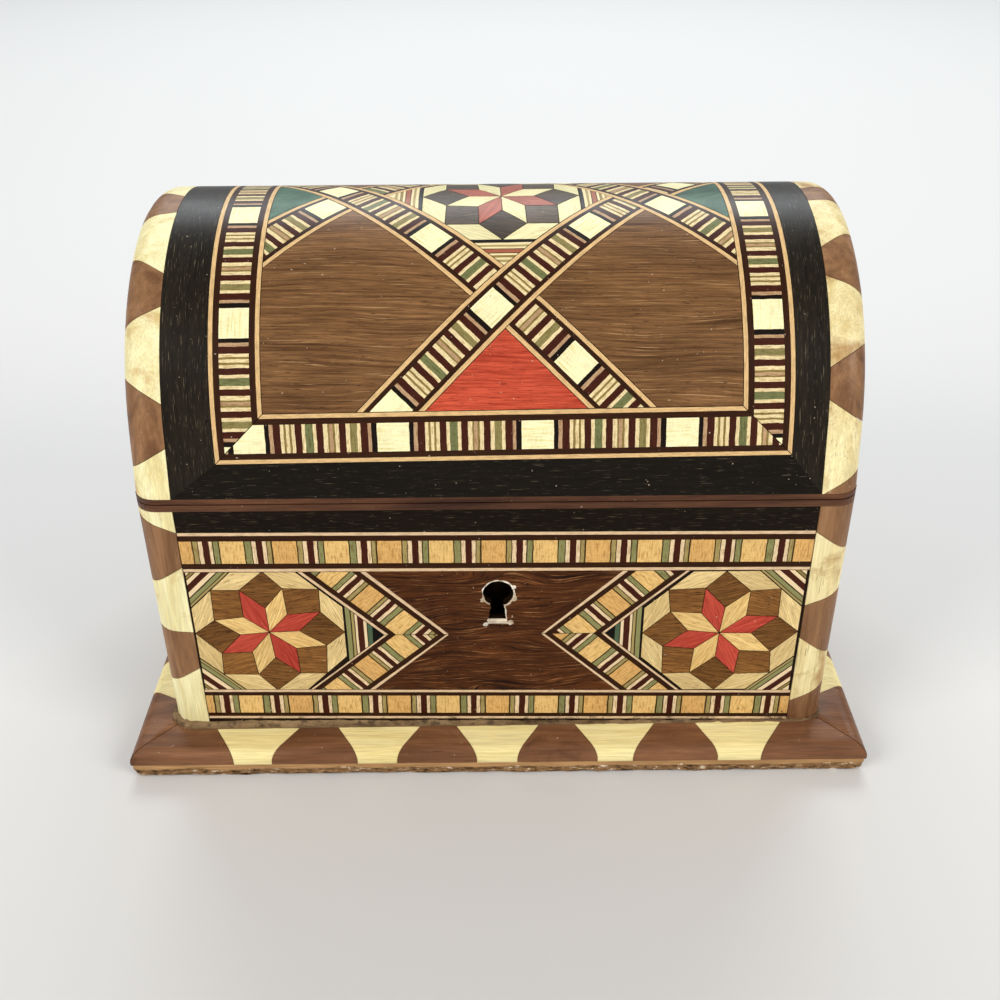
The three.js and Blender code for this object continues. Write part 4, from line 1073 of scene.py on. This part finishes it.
def end_of_lid(name, side):
    """An ebony D with a pale string and a walnut field, set into the lid's end."""
    sheet = new_sheet(name)
    radius = ARCH_RADIUS - (body_side - panel_half_width) - 0.1
    outline = []
    for step in range(END_ROUND_STEPS + 1):
        angle = -ARCH_HALF + 2 * ARCH_HALF * step / END_ROUND_STEPS
        outline.append((-radius * math.sin(angle), ARCH_CENTRE + radius * math.cos(angle)))
    foot_half = outline[0][0] + (outline[0][1] - lid_foot) / math.tan(ARCH_HALF)
    lay(sheet, [(foot_half, lid_foot), *outline, (-foot_half, lid_foot)], EBONY)
    bpy.ops.mesh.reveal()
    for inset, finish, turn, shift, tone in (
        (END_BORDER, TAN_WOOD, 0, (40, 40), 1.05), (END_STRING, WALNUT, 0.02, (77, 140), 0.95),
    ):
        bpy.ops.mesh.inset(thickness=inset * MM, depth=0)
        stain(sheet, finish)
        grain_map(sheet, (0, 60), turn, shift, tone)
    finish_sheet(sheet)
    set_on_end(sheet, side)
    return sheet


# The body's marquetry


def upper_edge(x):
    """The height of the upper band's lower edge."""
    return UPPER_TOP - UPPER_BAND + UPPER_SLOPE * x


def lower_edge(x):
    """The height of the lower band's upper edge."""
    return LOWER_TOP + LOWER_SLOPE * x


def bands_of_side(sheet, half, upper_start, lower_start):
    """The ebony under the lip and the two mosaic bands. Each start is the x where a dark slice begins."""
    left, right = UPPER_TOP - UPPER_SLOPE * half, UPPER_TOP + UPPER_SLOPE * half
    lay(sheet, [(-half, left), (half, right), (half, veneer_top), (-half, veneer_top)], FRONT_EBONY)
    for top, slope, width, finish, start in (
        (UPPER_TOP, UPPER_SLOPE, UPPER_BAND, UPPER_MOSAIC, upper_start),
        (LOWER_TOP, LOWER_SLOPE, LOWER_BAND, LOWER_MOSAIC, lower_start),
    ):
        left, right = top - slope * half, top + slope * half
        outline = [(-half, left - width), (half, right - width), (half, right), (-half, left)]
        lay(sheet, outline, finish, math.atan(slope), (start, top + slope * start - width / 2))


def plain_side(name, half):
    """The veneer of the back or an end, seen from in front, before it is turned into place."""
    sheet = new_sheet(name)
    bands_of_side(sheet, half, -half + 3, -half + 6)
    field = [
        (-half, lower_edge(-half)), (half, lower_edge(half)),
        (half, upper_edge(half)), (-half, upper_edge(-half)),
    ]
    lay(sheet, field, WALNUT, 0.02, tone=0.85)
    finish_sheet(sheet)
    return sheet


def chevron(sheet, side, starts, inner_tip, outer_tip, inner_top, outer_top):
    """Two mitred arms that point at the middle of the front. side is -1 on the left."""
    middle = side * (inner_tip + outer_tip) / 2
    for edge, start in zip((upper_edge, lower_edge), starts):
        inner_end, outer_end = edge(side * inner_top), edge(side * outer_top)
        arm = [
            (side * inner_tip, TIP_Z), (side * outer_tip, TIP_Z),
            (side * outer_top, outer_end), (side * inner_top, inner_end),
        ]
        slope = math.atan2(inner_end - TIP_Z, side * (inner_top - inner_tip))
        origin = (middle + start * math.cos(slope), TIP_Z + start * math.sin(slope))
        lay(sheet, arm, CHEVRON_MOSAIC, slope, origin)


def star_field(sheet, side, centre, stretch, twist, sizes):
    """A star with striped corners towards the end and a striped triangle towards its chevron."""
    middle = (side * centre, (upper_edge(side * centre) + lower_edge(side * centre)) / 2)
    reach = STAR_APOTHEM * stretch
    outside = side * (centre + reach)
    inside = side * sizes["inner_top"]
    room = [
        (outside, lower_edge(outside)), (inside, lower_edge(inside)), (side * sizes["inner_tip"], TIP_Z),
        (inside, upper_edge(inside)), (outside, upper_edge(outside)),
    ]
    woods = (STAR_RED, LEMON_WOOD, STAR_WALNUT, TAN_WOOD)
    star(sheet, middle, STAR_APOTHEM, woods, room, stretch=stretch, twist=twist)
    half_side = STAR_APOTHEM * (math.sqrt(2) - 1)
    for up in (1, -1):
        face = (outside, middle[1] + up * half_side)
        corner = trimmed(room, [(face, (-side / stretch, -up))])
        lay(sheet, corner, OUTER_STRIPES, math.atan2(-side / stretch, up), face)
    flat = (side * (centre - reach), middle[1])
    lay(sheet, trimmed(room, [(flat, (side, 0))]), STAR_STRIPES, math.pi / 2 * side, flat)


def front_sheet():
    sheet = new_sheet("front_marquetry")
    bands_of_side(sheet, panel_half_width, -58.8, -59.7)
    star_field(sheet, -1, 47.6, 0.995, 0.08, LEFT_CHEVRON)
    star_field(sheet, 1, 46.7, 1.04, -0.07, RIGHT_CHEVRON)
    chevron(sheet, -1, (-0.85, -0.85), **LEFT_CHEVRON)
    chevron(sheet, 1, (-3.0, 1.45), **RIGHT_CHEVRON)
    finish_sheet(sheet)
    settle(sheet, move=(0, -body_front - PROUD, 0))
    smooth(sheet)
    return sheet


def keyhole_wood():
    """The front's middle walnut, in one piece, with the ragged keyhole torn through it."""
    sheet = new_sheet("front_middle")
    left, right = -LEFT_CHEVRON["outer_top"], RIGHT_CHEVRON["outer_top"]
    left_tip, right_tip = (-LEFT_CHEVRON["outer_tip"], TIP_Z), (RIGHT_CHEVRON["outer_tip"], TIP_Z)
    upper = [left_tip, right_tip, (right, upper_edge(right)), (left, upper_edge(left))]
    lower = [(left, lower_edge(left)), (right, lower_edge(right)), right_tip, left_tip]
    for half in (upper, lower):
        lay(sheet, half, DARK_WALNUT, 0.02, (120, 40), glue=0.0)
    bpy.ops.mesh.reveal()
    take_all()
    bpy.ops.mesh.remove_doubles(threshold=0.02 * MM)
    bpy.ops.mesh.dissolve_limited(angle_limit=math.radians(1))
    finish_sheet(sheet)
    settle(sheet, move=(0, -body_front - PROUD, 0))
    carve(sheet, keyhole_cutter(radius=3.5, foot=34.9, ragged=0.34, seed=3, shift=0.15, chips=KEYHOLE_CHIPS))
    return sheet


def keyhole_scar():
    """The bare wood that shows round the keyhole, where the veneer has chipped away."""
    sheet = new_sheet("keyhole_scar")
    half = SCAR_HALF_WIDTH
    outline = [(-half, SCAR_FOOT), (half, SCAR_FOOT), (half, SCAR_TOP), (-half, SCAR_TOP)]
    lay(sheet, outline, BARE_WOOD, 0.0, (0, 0))
    finish_sheet(sheet, 0.1)
    settle(sheet, move=(0, -body_front - PROUD / 2, 0))
    carve(sheet, keyhole_cutter(radius=3.15, foot=36.3, ragged=0.12, seed=8))
    return sheet


def nibble(cutter, amount, seed):
    """Roughens a cutter's outline. Its faces are made triangles first, so that they stay flat."""
    edit(cutter)
    take_all()
    bpy.ops.mesh.quads_convert_to_tris()
    roughen(amount, seed)
    done()


def peg(sides_round, radius, depth, x, z, tilt=0.0):
    """A cylinder through the front, seen from its end."""
    deselect()
    bpy.ops.mesh.primitive_cylinder_add(
        vertices=sides_round, radius=radius * MM, depth=depth * MM, location=metres((x, -body_front, z)),
        rotation=(math.pi / 2, tilt, 0),
    )
    apply_place()
    return bpy.context.object


def keyhole_cutter(radius, foot, ragged, seed, shift=0.0, chips=()):
    """A round head over a flared slot down to foot, nibbled all round, with chips of (x, z, radius)."""
    middle = KEYHOLE_X + shift
    slot_middle = middle + SLOT_SHIFT
    head = peg(24, radius, 4, middle, KEYHOLE_HEAD_Z)
    top = KEYHOLE_HEAD_Z - radius * 0.6
    slot = block_at((slot_middle, -body_front, (top + foot) / 2), (radius * SLOT_SHARE, 4.2, top - foot))
    edit(slot)
    pick(slot, lambda place: place.z < foot + 0.5)
    flare_from = metres((slot_middle, -body_front, foot))
    bpy.ops.transform.resize(value=(SLOT_FLARE, 1, 1), center_override=flare_from)
    for level in range(1, int(top - foot)):
        score((0, 0, foot + level), (0, 0, 1))
    done()
    carve(head, slot, "UNION")
    nibble(head, ragged, seed)
    for x, z, size in chips:
        chip = peg(7, size, 3.5, x, z, tilt=x)
        nibble(chip, size * 0.3, seed)
        carve(head, chip, "UNION")
    return head


# Blocks of the edge inlay and the plinth


def joint_between(at_inner, at_outer, across, towards):
    """A saw cut through two places, in millimetres, and along across. Its normal points towards."""
    normal = (at_outer - at_inner).cross(across)
    if normal.dot(towards) < 0:
        normal.negate()
    return at_inner * MM, normal.normalized()


def blocks_between(node, cuts, first, woods, trims=None, edge=0.12):
    """Saws a node into blocks at these cuts. trims(index) gives further cuts for a block."""
    blocks = []
    gap = SAW_GAP * MM
    for index in range(len(cuts) + 1):
        block = copy_of(node, "block")
        edit(block)
        if index > 0:
            place, normal = cuts[index - 1]
            saw(place + normal * gap, -normal)
        if index < len(cuts):
            place, normal = cuts[index]
            saw(place - normal * gap, normal)
        for trim in trims(index) if trims else ():
            saw(*trim)
        done()
        paint(block, woods[(index + first) % 2])
        blocks.append(block)
    piece = join(blocks, node + "_blocks")
    round_off(piece, edge)
    smooth(piece)
    return piece


def strip_woods(side_x):
    """The right-hand edges are more stained than the left ones."""
    return (INLAY_BROWN, STAINED_CREAM if side_x > 0 else INLAY_CREAM)


def body_strip(side_x, side_y, joints):
    """One upright edge of the body: brown and cream blocks with slanted joints."""
    node = "corner_strip_" + ("front_" if side_y < 0 else "back_") + ("left" if side_x < 0 else "right")
    cuts = []
    for inner, outer in joints:
        at_inner = Vector((side_x * strip_inside, 0, inner))
        at_outer = Vector((side_x * body_side, 0, outer))
        cuts.append(joint_between(at_inner, at_outer, Vector((0, 1, 0)), Vector((0, 0, 1))))
    piece = blocks_between(node, cuts, int(side_x < 0), strip_woods(side_x))
    hand_over(piece, "case", node)


def arch_point(s):
    """The place on the lid's outside at this run from the crest, and the outward direction there."""
    angle = max(-ARCH_HALF, min(ARCH_HALF, s / ARCH_RADIUS))
    beyond = max(0, abs(s) - ARC_RUN)
    outward = Vector((0, math.sin(angle), math.cos(angle)))
    down = Vector((0, math.copysign(math.cos(angle), s), -abs(math.sin(angle))))
    return Vector((0, 0, ARCH_CENTRE)) + outward * ARCH_RADIUS + down * beyond, outward


def lid_strip(side_x, joints):
    """The edge inlay over one end of the lid."""
    node = "lid_edge_strip_" + ("left" if side_x < 0 else "right")
    cuts = []
    for inner, outer in joints:
        inner_place, inner_out = arch_point(inner)
        outer_place, outer_out = arch_point(outer)
        at_inner = inner_place + Vector((side_x * strip_inside, 0, 0))
        at_outer = outer_place + Vector((side_x * body_side, 0, 0))
        cuts.append(joint_between(at_inner, at_outer, inner_out + outer_out, Vector((0, 1, 0))))

    def own_half(index):
        towards = 1 if joints[min(index, len(joints) - 1)][0] < 0 else -1
        return [(Vector((0, towards * PAST_CREST * MM, 0)), Vector((0, towards, 0)))]

    piece = blocks_between(node, cuts, int(side_x < 0), strip_woods(side_x), own_half)
    hand_over(piece, "lid", node)


def plinth_run(name, joints):
    """One side of the plinth moulding: brown and cream blocks with slanted saw cuts."""
    node = "plinth_" + name
    side = -1 if name in ("front", "left") else 1
    lengthwise = name in ("front", "back")
    reach = body_front if lengthwise else body_side

    def on_plinth(along, across):
        return Vector((along, across, 0) if lengthwise else (across, along, 0))

    cuts = []
    for inner, outer in joints:
        at_inner = on_plinth(inner, side * (reach + PLINTH_INNER))
        at_outer = on_plinth(outer, side * (reach + PLINTH_REACH))
        cuts.append(joint_between(at_inner, at_outer, Vector((0, 0, 1)), on_plinth(1, 0)))

    def mitres(index):
        half_length, half_depth = (body_side, body_front) if lengthwise else (body_front, body_side)
        trims = []
        for end in (-1, 1):
            corner = on_plinth(end * half_length, side * half_depth)
            outward = on_plinth(end, -side).normalized()
            trims.append((corner * MM - outward * MITRE_GAP * MM, outward))
        return trims

    piece = blocks_between(node, cuts, 0, (PLINTH_BROWN, PLINTH_CREAM), mitres, 0.18)
    hand_over(piece, "case", node)


def filler_run(name, start, end, start_size, end_size, seed):
    """A ragged bead of filler along one side of the body's foot, half round the corner at both ends.

    start_size and end_size are (width, height) there.
    """
    start, end = (Vector((*corner, plinth_top - BEAD_SUNK)) for corner in (start, end))
    straight = (end - start).length - 2 * STRIP_ROUND
    bead = block_at((0, -0.5, 0.5), (straight, 1, 1))
    bead.name = name
    edit(bead)
    pick(bead, lambda place: place.y < -0.5 and place.z > 0.5)
    bpy.ops.transform.translate(value=(0, 0, -BEAD_DROP * MM))
    for hand, (width, height) in ((-1, start_size), (1, end_size)):
        pick(bead, lambda place: place.x * hand > 0)
        bpy.ops.transform.resize(value=(1, width, height), center_override=(0, 0, 0))
    for step in range(1, int(straight / BEAD_STEP)):
        score((step * BEAD_STEP - straight / 2, 0, 0), (1, 0, 0))
    for hand in (-1, 1):
        pick(bead, lambda place: place.x * hand > straight / 2 - 0.01)
        corner = metres((hand * straight / 2, STRIP_ROUND, 0))
        bpy.ops.mesh.spin(steps=4, angle=-hand * math.pi / 4, center=corner, axis=(0, 0, 1))
    take_all()
    bpy.ops.mesh.remove_doubles(threshold=0.01 * MM)
    bpy.ops.mesh.normals_make_consistent(inside=False)
    pick(bead, lambda place: place.z > 0.1)
    roughen(BEAD_RAGGED, seed)
    done()
    along = (end - start).normalized()
    outward = Vector((along.y, -along.x, 0))
    middle = (start + end) / 2 - outward * BEAD_IN_BODY
    settle(bead, turn=(0, 0, math.atan2(along.y, along.x)), move=middle)
    round_off(bead)
    smooth(bead, 60)
    paint(bead, FILLER)
    hand_over(bead, "case")


def worn_base():
    """The base board, with its lower edge torn ragged and rubbed round all the way along."""
    board = copy_of("base_board", "worn_base_board")
    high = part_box("base_board")[1]
    half_width, half_depth = high.x / MM, high.y / MM
    edit(board)
    for height in (0.8, 1.6, 2.4):
        score((0, 0, height), (0, 0, 1))
    for half, axis in ((half_width, (1, 0, 0)), (half_depth, (0, 1, 0))):
        steps = int(half / WEAR_STEP)
        for step in range(-steps, steps + 1):
            score(times(axis, step * WEAR_STEP), axis)

    def on_rim(place):
        return abs(place.x) > half_width - WEAR_DEPTH or abs(place.y) > half_depth - WEAR_DEPTH

    # From the bottom up: the layer, how far it is rubbed in and up, and how ragged it is
    for layer, rubbed, risen, ragged in ((0.0, 0.8, 0.35, 0.34), (0.8, 0.4, 0, 0.36), (1.6, 0.2, 0, 0.2)):
        pick(board, lambda place: abs(place.z - layer) < 0.1 and on_rim(place))
        shrunk = (1 - rubbed / half_width, 1 - rubbed / half_depth, 1)
        bpy.ops.transform.resize(value=shrunk, center_override=(0, 0, 0))
        bpy.ops.transform.translate(value=(0, 0, risen * MM))
        roughen(ragged, int(layer * 10) + 1)
    done()
    paint(board, PLYWOOD)
    hand_over(board, "case", "base_board")


def felt_lining(name, body):
    """A sheet of felt with the outline of its node."""
    felt = copy_of(name, "felt_" + name)
    round_off(felt, 0.15)
    paint(felt, FELT)
    smooth(felt, 50)
    hand_over(felt, body, name)


# Putting it together

lid_veneer = lid_sheet()
bend_over_arch(lid_veneer)
hand_over(lid_veneer, "lid")
hand_over(lid_ground(), "lid", "lid_panel_top")

hand_over(front_sheet(), "case")
hand_over(keyhole_wood(), "case")
hand_over(keyhole_scar(), "case")
back = plain_side("back_marquetry", panel_half_width)
settle(back, turn=(0, 0, math.pi), move=(0, body_front + PROUD, 0))
hand_over(back, "case")
for side, name in ((-1, "left"), (1, "right")):
    end = plain_side(name + "_end_marquetry", strip_depth_inside)
    set_on_end(end, side)
    hand_over(end, "case")
for side, name in ((-1, "left"), (1, "right")):
    hand_over(end_of_lid("lid_" + name + "_end_marquetry", side), "lid")

for side_y in (-1, 1):
    body_strip(-1, side_y, LEFT_BODY_JOINTS)
    body_strip(1, side_y, RIGHT_BODY_JOINTS)
lid_strip(-1, LEFT_LID_JOINTS)
lid_strip(1, RIGHT_LID_JOINTS)
for name in ("front", "back"):
    plinth_run(name, PLINTH_FRONT_JOINTS)
for name in ("left", "right"):
    plinth_run(name, PLINTH_SIDE_JOINTS)

worn_base()
foot_corners = rectangle(body_side, body_front)
for index, name in enumerate(("front", "right", "back", "left")):
    after = (index + 1) % 4
    corners = (foot_corners[index], foot_corners[after])
    filler_run("filler_" + name, *corners, BEAD_SIZES[index], BEAD_SIZES[after], index + 1)

# Each felt: its node and its body
felt_lining("floor_lining", "case")
felt_lining("wall_lining", "case")
felt_lining("lid_lining", "lid")
for name in ("left", "right"):
    felt_lining("lid_end_lining_" + name, "lid")

# The frame's own nodes: the first start of a name that fits gives the finish

NODE_FINISHES = [
    ("body_lip_front", LIP_LONG), ("body_lip_back", LIP_LONG), ("lid_lip_front", LIP_LONG),
    ("lid_lip_back", LIP_LONG), ("body_lip", LIP_SHORT), ("lid_lip", LIP_SHORT),
    ("lock_case", KEYHOLE_SHADE_IRON), ("lock_plate", KEYHOLE_SHADE_BRASS), ("lock_bolt", STEEL), ("lock_spring", STEEL),
    # The front wall's cut shows inside the keyhole: it takes the dark glue finish as painted shade
    ("hinge", BRASS), ("lock", BRASS), ("front_wall", GLUE_AND_SHADE), ("lid_panel", GLUE_AND_SHADE),
    ("lid_rail", CARCASS), ("lid_end", CARCASS), ("lid_shell", CARCASS),
]


def finish_of(name):
    for start, finish in NODE_FINISHES:
        if name.startswith(start):
            return finish
    if name.endswith("_wall"):
        return CARCASS
    return GLUE_AND_SHADE if name.endswith("_panel") else None


for name, piece in nodes.items():
    if finish_of(name):
        paint(piece, finish_of(name))


# Floor, light and camera, in metres


def studio():
    deselect()
    bpy.ops.mesh.primitive_plane_add(size=6)
    floor = bpy.context.object
    floor.name = "floor"
    material, tree = blank("pale_floor")
    surface(tree, {"Base Color": (0.66, 0.65, 0.635, 1), "Roughness": 0.6})
    floor.data.materials.append(material)

    world = bpy.context.scene.world or bpy.data.worlds.new("room")
    bpy.context.scene.world = world
    world.use_nodes = True
    tree = world.node_tree
    connect(tree, tree.nodes["Background"], {"Color": (0.95, 0.97, 1, 1), "Strength": 0.45})

    def lamp(name, place, aim, size, power, colour):
        light = bpy.data.lights.new(name, "AREA")
        light.shape = "RECTANGLE"
        light.size, light.size_y = size
        light.energy = power
        light.color = colour
        holder = bpy.data.objects.new(name, light)
        bpy.context.collection.objects.link(holder)
        holder.location = place
        holder.rotation_euler = (Vector(aim) - Vector(place)).to_track_quat("-Z", "Y").to_euler()

    lamp("back_window", (0.05, 1.0, 0.95), (0, 0, 0.08), (1.3, 0.5), 13, (0.9, 0.96, 1))
    for name, side in (("left_key", -1), ("right_key", 1)):
        lamp(name, (side, -0.75, 0.75), (0, 0, 0.05), (0.7, 0.7), 11.3, (1, 0.97, 0.93))


def photograph_camera():
    holder = bpy.data.objects.new("camera", bpy.data.cameras.new("camera"))
    bpy.context.collection.objects.link(holder)
    holder.data.lens = 43.18
    holder.data.sensor_width = 36
    holder.data.clip_start = 0.01
    place = Matrix.Translation((0.00003, -0.2429, 0.1896))
    yaw = Matrix.Rotation(math.radians(-0.19), 4, "Z")
    pitch = Matrix.Rotation(math.radians(90 - 32.04), 4, "X")
    roll = Matrix.Rotation(math.radians(-0.41), 4, "Z")
    holder.matrix_world = place @ yaw @ pitch @ roll
    bpy.context.scene.camera = holder


studio()
photograph_camera()
bpy.context.scene.view_settings.view_transform = "Standard"
